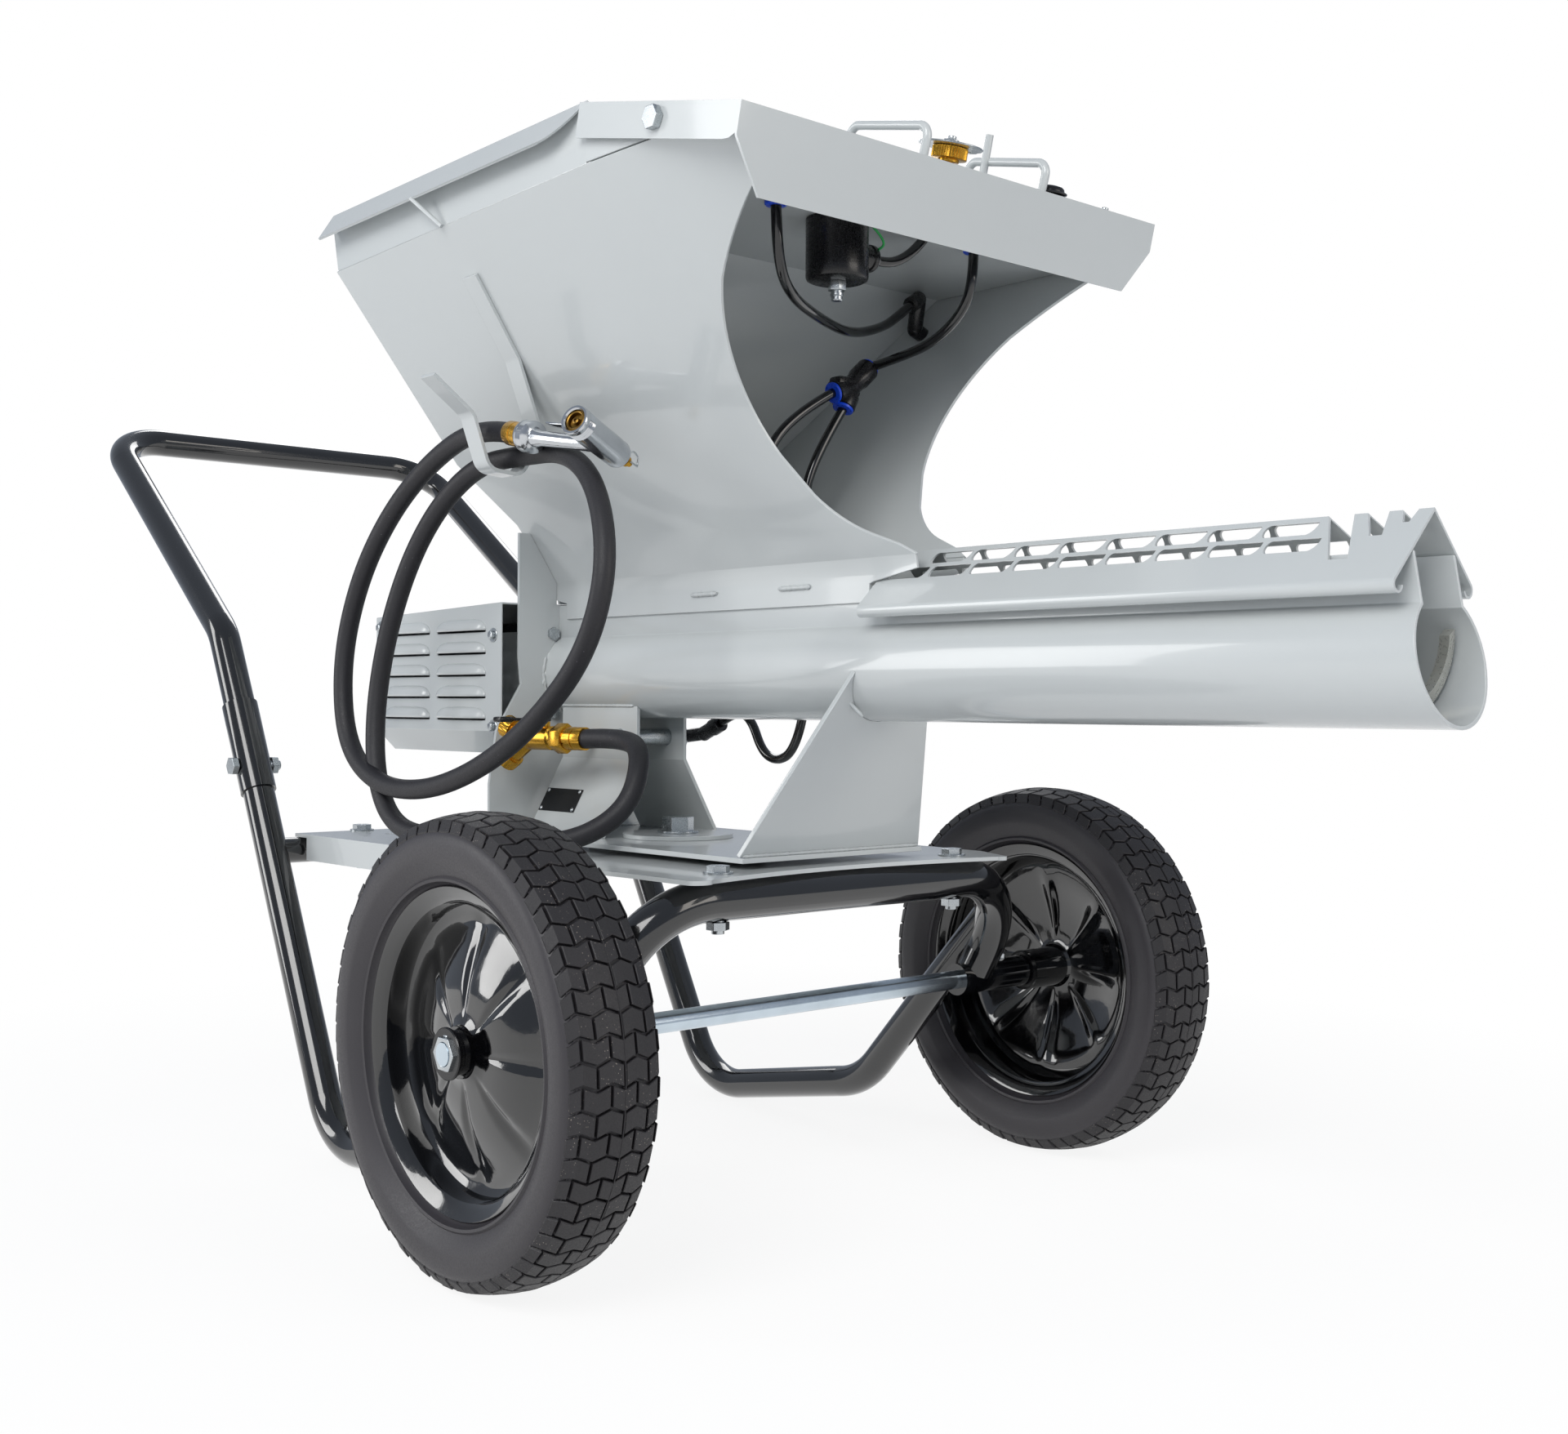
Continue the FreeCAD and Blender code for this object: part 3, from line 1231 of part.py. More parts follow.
rooms = []
tube_radius = S.tube_outer.value
fitting_low = S.tray_z - 4.1
splitter_inlet = (-3, 88, 845)
splitter_middle = (0, 60, 822)
splitter_outlets = [(0, 34, 812), (0, 48, 797)]
far_elbow_top = (-17, 162, 923)
far_elbow_turn = (-27, 184, 934)
outer_elbow_foot = (-45, 213, 884)
pipe_elbow_top = (-204, 60, 479)
node("water_tubes", group(
    soft_tube("supply_tube", [
        (130, -155, fitting_low), (130, -155, 894), (110, -122, 868), (74, -50, 862), (16, 44, 870),
        (-4, 108, 889), (-12, 140, 908), far_elbow_top,
    ], tube_radius),
    soft_tube("return_tube", [
        (137, 93, fitting_low), (137, 93, 905), (119, 92, 878), (84, 91, 858), (40, 90, 850), splitter_inlet,
    ], tube_radius),
    soft_tube("near_tail", [
        splitter_outlets[0], (-3, -6, 790), (-8, -44, 752), (-13, -51, 702), (-17, -27, 657), (-20, -9, 618),
    ], tube_radius),
    soft_tube("far_tail", [
        splitter_outlets[1], (-3, 26, 764), (-9, 8, 722), (-15, 4, 672), (-20, 13, 622),
    ], tube_radius),
    soft_tube("trough_tube", [
        pipe_elbow_top, (-179, 60.5, 491.5), (-154, 60, 483), (-137, 60.5, 448), (-112, 60, 438), (-87, 60.5, 448),
        (-68, 60, 490), (-62, 60.5, 560), (-58, 62, 640), (-54, 98, 720), (-49, 160, 812), outer_elbow_foot,
    ], tube_radius),
))
splitter_shape = straight(spot(*splitter_inlet), spot(*splitter_middle), 9)
for outlet in splitter_outlets:
    splitter_shape = splitter_shape.fuse(straight(spot(*splitter_middle), spot(*outlet), 8))
far_elbow = straight(spot(*far_elbow_top), spot(*far_elbow_turn), 8)
far_elbow = far_elbow.fuse(Part.makeSphere(8, spot(*far_elbow_turn)))
far_elbow = far_elbow.fuse(straight(spot(*far_elbow_turn), spot(*elbow_inside), 8))
far_elbow = far_elbow.fuse(Part.makeSphere(8, spot(*elbow_inside)))
far_elbow = far_elbow.fuse(straight(spot(*elbow_inside), spot(*elbow_outside), elbow_radius))
far_elbow = far_elbow.fuse(Part.makeSphere(7, spot(*elbow_outside)))
far_elbow = far_elbow.fuse(straight(spot(*elbow_outside), spot(*outer_elbow_foot), 7))
node("tube_splitter", cut(group(feature("splitter", splitter_shape), feature("far_elbow", far_elbow)), *rooms))

# Water pipe across the brackets, with its fitting and elbow
far_face = S.bracket_y + 4.2
pipe_end = far_face + 14
elbow_start = spot(S.pipe_x, pipe_end, S.pipe_z)
elbow_turn = spot(S.pipe_x + 30, size(60), S.pipe_z + 4)
elbow_shape = straight(elbow_start, elbow_turn, 6.5).fuse(Part.makeSphere(8, elbow_turn))
elbow_shape = elbow_shape.fuse(straight(elbow_turn, spot(*pipe_elbow_top), 8))
node("water_pipe", group(
    fused(
        rod("Y", S.pipe_x, -S.bracket_y - 6, S.pipe_z, S.pipe_radius, S.bracket_y + 6 + pipe_end - 2),
        hexagon("Y", S.pipe_x, far_face, S.pipe_z, 24, 14),
    ),
    cut(feature("elbow", elbow_shape), rooms[-1]),
))

# Ball valve with two inlets, on a stub from the bracket
valve_head = spot(-249, -90, S.valve_z)
valve_axis = Vector(-0.979, -0.205, 0)
ferrule_run = S.ferrule_length.value


def along_valve(distance, rise=0.0):
    return valve_head + valve_axis * distance + Vector(0, 0, rise)


valve_solid = straight(along_valve(ferrule_run + 12), along_valve(90), S.valve_radius.value)
nut_axis = Part.Face(Part.makePolygon([
    along_valve(ferrule_run + 0.2) + (Vector(0, 0, 1) * math.sin(i * math.pi / 3)
                                      + Vector(0.205, -0.979, 0) * math.cos(i * math.pi / 3)) * 17
    for i in (0, 1, 2, 3, 4, 5, 0)
])).extrude(valve_axis * 15)
valve_solid = valve_solid.fuse(nut_axis)
inlet_ends = []
for drop, end_rise in ((-4, 13), (-6, -26)):
    branch_end = along_valve(119, end_rise)
    branch_start = along_valve(84, drop * 0.5)
    branch_axis = (branch_end - branch_start).normalize()
    valve_solid = valve_solid.fuse(straight(branch_start, branch_end, 9.5))
    valve_solid = valve_solid.fuse(straight(branch_end - branch_axis * 14, branch_end, 13))
    inlet_ends.append((branch_end, branch_axis))
stem_foot = along_valve(62)
stub_end = Vector(stem_foot.x, -S.bracket_y.value - 0.2, stem_foot.z)
valve_solid = valve_solid.fuse(straight(stem_foot, stub_end, 8))
valve_solid = valve_solid.fuse(straight(stem_foot, stem_foot + Vector(0, 0, S.valve_radius.value + 5), 7))
node("ball_valve", feature("valve", valve_solid.removeSplitter()))
lever_foot = stem_foot + Vector(0, 0, S.valve_radius.value + 5.3)
lever_shape = straight(lever_foot, lever_foot + Vector(0, 0, 4), 8)
lever_blade = Part.makeBox(10, 46, 4, lever_foot + Vector(-5, -46, 0))
lever_grip = Part.makeBox(16, 18, 6, lever_foot + Vector(-8, -60, -1))
node("valve_lever", feature("lever", lever_shape.fuse([lever_blade, lever_grip]).removeSplitter()))

# Hook for the hose, a bent flat strip on the left side wall
hook_stand = S.hook_sheet / 2 + S.weld_gap


def on_wing(z):
    """Distance from the middle plane to a strip lying on the side wall."""
    return (size(z) - wing_z) * S.wing_slope + hook_stand * slope_length


hook_points = [
    spot(S.hook_x, -on_wing(930), 930), spot(S.hook_x, -on_wing(852), 852), spot(S.hook_x, -150, 776),
    spot(S.hook_x, -175, 733), spot(S.hook_x, -213, 736), spot(S.hook_x, -232, 790), spot(S.hook_x, -278, 824),
]
hook_path, _ = rounded(hook_points, [20, 30, 16, 16, 18])
first_run = (hook_points[1] - hook_points[0]).normalize()
side_step = Vector(S.hook_width.value / 2, 0, 0)
face_step = first_run.cross(Vector(1, 0, 0)) * (S.hook_sheet.value / 2)
hook_profile = Part.makePolygon([
    hook_points[0] + side_step + face_step, hook_points[0] + side_step - face_step,
    hook_points[0] - side_step - face_step, hook_points[0] - side_step + face_step,
    hook_points[0] + side_step + face_step,
])
node("hose_hook", feature("hook", swept(hook_path, hook_profile, Vector(1, 0, 0))))

# Hose, from the nozzle round two loops in the hook and down to the valve
hose_start = (-225, -200, 771.5)
hose_lead = Vector(-0.979, 0, 0.207)
hose_finish = (valve_head.x - S.axle_x.value, valve_head.y, valve_head.z)
hose_run = soft_tube("hose_run", [
    hose_start, (-286, -200, 784.4), (-372, -205, 758), (-442, -217, 704), (-496, -226, 630), (-522, -232, 540),
    (-500, -237, 450), (-425, -239, 408), (-325, -237, 406), (-225, -231, 434), (-135, -226, 482),
    (-62, -221, 545), (-34, -216, 625), (-76, -198, 706), (-163, -174, 751), (-240, -179.5, 752),
    (-303, -188, 749), (-362, -199, 713), (-415, -206, 655), (-449, -215, 575), (-461, -223, 490),
    (-446, -230, 415), (-400, -234, 366), (-325, -230, 357), (-240, -206, 357), (-168, -164, 357.5),
    (-124, -126, 392), (-134, -101, 446), (-190, -78, 464), hose_finish,
], S.hose_radius.value)
node("hose", hose_run)
nozzle_start = spot(*hose_start)
nozzle_axis = hose_lead * -1


def along_nozzle(distance):
    return nozzle_start + nozzle_axis * distance


ferrules = []
for start, axis in ((nozzle_start, nozzle_axis), (valve_head, valve_axis)):
    ferrules.append(feature("ferrule", straight(start, start + axis * ferrule_run, S.ferrule_radius.value)))
node("hose_ferrules", cut(group(*ferrules), rooms[-1]))

# Spray nozzle: collar, handle, head and trigger
head_rear, head_front = spot(-84, -166, 737), spot(-60, -238, 763)
head_axis = (head_front - head_rear).normalize()
head_mouth = head_rear + head_axis * 79
handle_end = head_rear + head_axis * 24
nozzle_solid = straight(along_nozzle(ferrule_run + 0.2), along_nozzle(ferrule_run + 20), 15)
handle_foot = along_nozzle(ferrule_run + 18)
nozzle_solid = nozzle_solid.fuse(straight(handle_foot, handle_end, 8.5))
nozzle_solid = nozzle_solid.fuse(straight(head_rear, head_mouth, 15))
mouth_bore = straight(head_mouth - head_axis * 9, head_mouth + head_axis, 10.5)
mouth_jet = straight(head_mouth - head_axis * 10, head_mouth - head_axis * 3, 4.5)
nozzle_solid = nozzle_solid.cut(mouth_bore).fuse(mouth_jet)
nozzle_solid = nozzle_solid.fuse(straight(head_rear, head_rear - head_axis * 16, 5))
handle_axis = (handle_foot - handle_end).normalize()
across_handle = handle_axis.cross(head_axis).normalize()
if across_handle.z < 0:
    across_handle = across_handle * -1
trigger_side = handle_axis.cross(across_handle).normalize()
trigger_foot = handle_end + handle_axis * 27 + across_handle * 13
knuckle_radius = 2.6
trigger_half = 4.5
trigger_shape = Part.makeBox(trigger_half * 2, 69, 3.2)
trigger_shape.Placement = Placement(
    trigger_foot - trigger_side * trigger_half,
    Rotation(trigger_side, handle_axis, across_handle, "ZXY"),
)
knuckle = straight(trigger_foot - trigger_side * trigger_half, trigger_foot + trigger_side * trigger_half, knuckle_radius)
node("nozzle_trigger", feature("trigger", trigger_shape.fuse(knuckle)))
hinge_post = handle_end + handle_axis * 27
saddle = straight(
    trigger_foot - trigger_side * trigger_half * 2, trigger_foot + trigger_side * trigger_half * 2,
    knuckle_radius + S.running_gap.value,
)
nozzle_solid = nozzle_solid.fuse(straight(hinge_post, hinge_post + across_handle * 12.4, 3.5).cut(saddle))
node("nozzle_body", feature("nozzle", nozzle_solid.removeSplitter()))

# Blank plate on the left bracket
flare = (S.bracket_foot_y - S.bracket_y) / (S.bracket_bend_z - base_top)
plate_z = size(391)
plate_body = new_body()
leaning_pad(
    plate_body, "XZ", (S.axle_x, plate_z, S.bracket_y + (S.bracket_bend_z - plate_z) * flare + 0.2), arctan(-flare),
    [(-373, -14), (-305, -14), (-305, 14), (-373, 14)], size(1))
node("data_plate", plate_body)

# Drive behind the back plate
box_front = back_low_x - S.running_gap


def box_shell(inset, front):
    """The guard's outside, or its inside when it is inset by the sheet."""
    body = prism("XZ", -S.box_half + inset, S.box_half - inset, [
        (S.box_rear + inset, S.box_floor + inset), (front, S.box_floor + inset),
        (front, S.box_front_top - inset), (S.box_rear + inset, S.box_rear_top - inset),
    ])
    for side in (-1, 1):
        edge_y = side * (S.box_half - inset)
        pocket(body, "YZ", S.box_rear - 1, front + 1, [
            (edge_y + side, S.box_floor + S.box_chamfer + side * side), (edge_y + side, S.box_floor + inset - 1),
            (edge_y - side * (S.box_chamfer + 1), S.box_floor + inset - 1),
            (edge_y, S.box_floor + S.box_chamfer + inset),
        ])
    return body


guard_box = cut(box_shell(size(0), box_front), box_shell(S.box_sheet, box_front + 5))
louvres = new_body()
for rear_x in (S.box_rear + 23, S.box_rear + 146):
    for i in range(5):
        low_z = S.box_floor + 38 + i * S.louvre_pitch
        pad(louvres, "XZ", -S.box_half - 2, S.box_half + 2, [
            (rear_x, low_z), (rear_x + S.louvre_length, low_z),
            (rear_x + S.louvre_length, low_z + 4), (rear_x, low_z + 4),
        ])
node("motor_guard", cut(guard_box, louvres))
shaft_bore = rod("X", S.motor_rear - 20, 0, S.tube_z, 8.3, 200)
node("motor", cut(
    rod("X", S.motor_rear, 0, S.tube_z, S.motor_radius, S.motor_front - S.motor_rear),
    rod("X", S.motor_rear + 5, 0, S.tube_z, S.motor_radius - 5, S.motor_front - S.motor_rear - 10),
    shaft_bore,
))
node("motor_rotor", fused(
    rod("X", S.motor_rear - 14, 0, S.tube_z, 8, S.motor_front - S.motor_rear + 34),
    rod("X", S.motor_rear + 12, 0, S.tube_z, 44, S.motor_front - S.motor_rear - 26),
    rod("X", S.motor_rear - 14, 0, S.tube_z, 52, 10),
))
gearbox_face = back_low_x - 6.3
node("gearbox", cut(
    block((S.motor_front + 0.2, -S.gearbox_half, S.tube_z - S.gearbox_half),
          (gearbox_face, S.gearbox_half, S.tube_z + S.gearbox_half)),
    rod("X", S.gearbox_front - 20, 0, S.tube_z, S.shaft_radius - 4 + S.running_gap, 60),
    rod("X", S.motor_front - 1, 0, S.tube_z, 8.3, 24),
    *[rod("X", gearbox_face - 30, y, z, S.gearbox_bolt_radius + S.weld_gap, 60) for y, z in gearbox_spots],
))
node("gearbox_bolts", group(*[
    fused(hexagon("X", S.trough_rear, y, z, 13, 5.5), rod("X", gearbox_face - 20, y, z, S.gearbox_bolt_radius, 31))
    for y, z in gearbox_spots
]))

doc.recompute()
for item in doc.Objects:
    assert not {"Invalid", "Error"} & set(item.State), f"{item.Label} failed"
for thing in NODES:
    assert not thing.Shape.isNull() and thing.Shape.isValid(), f"{thing.Label} has no valid shape"
os.makedirs("parts", exist_ok=True)
for thing in NODES:
    thing.Shape.exportStep(f"parts/{thing.Label}.step")
print(len(NODES), "parts")
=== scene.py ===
"""A portable mortar mixer in a pale studio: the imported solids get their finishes, and what they
leave plain, such as tyres, hose, nozzle and fittings, is modelled here.

Positions are millimetres in the part's frame until a piece is stored, when they become metres:
X forward along the trough, Y to the right-hand wheel, Z up from the ground.
"""

import json
import math
from itertools import product

import bmesh
import bpy
from bpy.props import FloatProperty, FloatVectorProperty, IntProperty, PointerProperty
from mathutils import Matrix, Vector

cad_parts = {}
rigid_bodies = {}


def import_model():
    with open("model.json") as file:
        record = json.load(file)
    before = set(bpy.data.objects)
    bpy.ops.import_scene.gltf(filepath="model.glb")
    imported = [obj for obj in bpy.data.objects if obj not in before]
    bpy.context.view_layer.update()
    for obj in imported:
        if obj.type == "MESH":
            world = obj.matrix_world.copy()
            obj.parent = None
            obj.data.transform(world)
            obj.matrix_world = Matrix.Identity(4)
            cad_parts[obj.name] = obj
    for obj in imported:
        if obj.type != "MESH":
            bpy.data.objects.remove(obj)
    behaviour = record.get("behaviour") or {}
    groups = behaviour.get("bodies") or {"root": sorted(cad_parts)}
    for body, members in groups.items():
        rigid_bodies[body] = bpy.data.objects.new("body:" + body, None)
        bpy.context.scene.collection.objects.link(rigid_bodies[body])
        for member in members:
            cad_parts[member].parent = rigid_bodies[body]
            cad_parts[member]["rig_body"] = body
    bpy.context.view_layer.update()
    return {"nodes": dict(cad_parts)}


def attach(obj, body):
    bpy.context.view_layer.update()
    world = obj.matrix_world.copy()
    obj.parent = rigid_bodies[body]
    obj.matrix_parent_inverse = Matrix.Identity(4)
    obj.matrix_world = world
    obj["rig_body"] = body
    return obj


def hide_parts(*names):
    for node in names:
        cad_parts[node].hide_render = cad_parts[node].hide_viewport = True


bl_info = {
    "name": "Mortar mixer",
    "version": (1, 0, 0),
    "blender": (4, 5, 0),
    "location": "3D View > Sidebar > Mixer",
    "description": "Finishes and detail pieces for a portable mortar mixer",
    "category": "Object",
}

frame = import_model()
MM = 0.001
# the axle's place along and above the ground, half the distance between the tyres' middles, and
# the height of the auger's axis
AXLE = 244.4
AXLE_Z = 203.0
TRACK = 366.7
AUGER_Z = 533.2


def linear(code):
    """A linear colour from an sRGB hex value."""
    parts = [int(code[i:i + 2], 16) / 255 for i in (0, 2, 4)]
    return [p / 12.92 if p <= 0.04045 else ((p + 0.055) / 1.055) ** 2.4 for p in parts] + [1.0]


def colour(name, description, code):
    """A colour that the sidebar shows, from its sRGB hex value."""
    return FloatVectorProperty(
        name=name, description=description, subtype="COLOR", size=4, min=0, max=1, default=linear(code))


def length(name, description, millimetres):
    """A length that the sidebar shows, from its millimetres."""
    return FloatProperty(
        name=name, description=description, subtype="DISTANCE", unit="LENGTH", min=0,
        default=millimetres * MM)


class CoatColours(bpy.types.PropertyGroup):
    panels: colour("Panels", "Light grey powder coat of the sheet metal", "C6CACA")
    frame: colour("Frame", "Gloss black coat of the bent tubes", "0B0C0F")
    wheel: colour("Wheel discs", "Stoved enamel of the wheel discs", "08080A")
    rubber: colour("Tyres", "Foam rubber of the tyres", "252326")
    hose: colour("Hose", "Cover of the water hose", "1F1E23")
    brass: colour("Brass", "Machined brass fittings", "D8A43C")
    zinc: colour("Zinc", "Bright zinc plating", "C4C9CC")
    collar: colour("Collars", "Release collars of the push-in fittings", "0F4BE0")


class TyreSizes(bpy.types.PropertyGroup):
    radius: length("Radius", "Outer radius of the tyre", 203)
    width: length("Width", "Width across the sidewalls", 90)
    groove: length("Groove depth", "Depth of the tread's grooves", 4.2)
    gap: length("Groove width", "Width of the grooves between blocks", 2.5)
    pitches: IntProperty(name="Pitches", description="Blocks round one row", min=20, max=90, default=66)


class DiscSizes(bpy.types.PropertyGroup):
    lip: length("Lip radius", "Outer radius of the rim's lip", 140.8)
    flute: length("Flute depth", "Depth of the pressed radial flutes", 3.2)
    flutes: IntProperty(name="Flutes", description="Radial flutes in one disc", min=3, max=24, default=8)


class HoseSizes(bpy.types.PropertyGroup):
    diameter: length("Diameter", "Outer diameter of the rubber hose", 21)
    tube: length("Tube diameter", "Outer diameter of the thin water tubes", 10)


class StageSizes(bpy.types.PropertyGroup):
    floor: length("Floor", "Half the width of the floor", 9000)
    key: FloatProperty(name="Key", description="Main soft light in watts", min=0, default=84)
    fill: FloatProperty(name="Fill", description="Fill light in watts", min=0, default=30)
    surround: FloatProperty(name="Surround", description="Even light all round", min=0, default=0.43)


SETTINGS = {
    "mixer_colours": CoatColours,
    "mixer_tyres": TyreSizes,
    "mixer_discs": DiscSizes,
    "mixer_hose": HoseSizes,
    "mixer_stage": StageSizes,
}


# Materials
def add(tree, kind, inputs=None, stops=(), **settings):
    """Adds a node; an input is a value or the socket that feeds it, and stops are a ramp's."""
    node = tree.nodes.new(kind)
    for name, value in settings.items():
        setattr(node, name, value)
    for i, (position, tint) in enumerate(stops):
        node.color_ramp.elements[i].position = position
        node.color_ramp.elements[i].color = tint
    for name, value in (inputs or {}).items():
        if isinstance(value, bpy.types.NodeSocket):
            tree.links.new(value, node.inputs[name])
        else:
            node.inputs[name].default_value = value
    return node


WHITE = [1.0, 1.0, 1.0, 1.0]
BLACK = [0.0, 0.0, 0.0, 1.0]


def shade(base, factor):
    """A colour made darker or lighter by a factor."""
    return [part * factor for part in base[:3]] + [1.0]


def finish(name, base, metallic=0.0, roughness=0.4, coat=0.0, grain_mm=3.0, grain=0.04, cloud_mm=90.0,
           tone=0.94, rough_swing=0.06, stretch=(1, 1, 1), specks=None, coat_rough=0.03):
    """A surface with a slow drift of tone, a fine grain in its bump and an uneven polish."""
    material = bpy.data.materials.new(name)
    material.use_nodes = True
    tree = material.node_tree
    shader = tree.nodes["Principled BSDF"]
    place = add(tree, "ShaderNodeTexCoord").outputs["Object"]
    turned = add(tree, "ShaderNodeMapping", {"Vector": place, "Scale": stretch}).outputs["Vector"]
    clouds = add(tree, "ShaderNodeTexNoise", {
        "Vector": place, "Scale": 1 / (cloud_mm * MM), "Detail": 3.0}).outputs["Fac"]
    fine = add(tree, "ShaderNodeTexNoise", {
        "Vector": turned, "Scale": 1 / (grain_mm * MM), "Detail": 2.0}).outputs["Fac"]
    tint = add(tree, "ShaderNodeValToRGB", {"Fac": clouds}, [
        (0.3, shade(base, tone)), (0.7, list(base))]).outputs["Color"]
    if specks:
        # small pale spots, as dust and flash leave on moulded rubber
        apart_mm, reach, pale = specks
        spots = add(tree, "ShaderNodeTexVoronoi", {"Vector": place, "Scale": 1 / (apart_mm * MM)})
        mask = add(tree, "ShaderNodeValToRGB", {"Fac": spots.outputs["Distance"]}, [
            (reach, WHITE), (reach + 0.03, BLACK)]).outputs["Color"]
        gate = add(tree, "ShaderNodeValToRGB", {"Fac": clouds}, [
            (0.5, BLACK), (0.62, WHITE)]).outputs["Color"]
        both = add(tree, "ShaderNodeMath", {0: mask, 1: gate}, operation="MULTIPLY").outputs["Value"]
        tint = add(tree, "ShaderNodeMix", {0: both, 6: tint, 7: pale}, data_type="RGBA").outputs[2]
    tree.links.new(tint, shader.inputs["Base Color"])
    worn = add(tree, "ShaderNodeMapRange", {
        "Value": fine, "From Min": 0.3, "From Max": 0.7,
        "To Min": max(0.02, roughness - rough_swing), "To Max": roughness + rough_swing})
    tree.links.new(worn.outputs["Result"], shader.inputs["Roughness"])
    shader.inputs["Metallic"].default_value = metallic
    shader.inputs["Coat Weight"].default_value = coat
    shader.inputs["Coat Roughness"].default_value = coat_rough
    bump = add(tree, "ShaderNodeBump", {
        "Height": fine, "Strength": grain, "Distance": grain_mm * MM * 0.3})
    tree.links.new(bump.outputs["Normal"], shader.inputs["Normal"])
    return material


FINISHES = {}


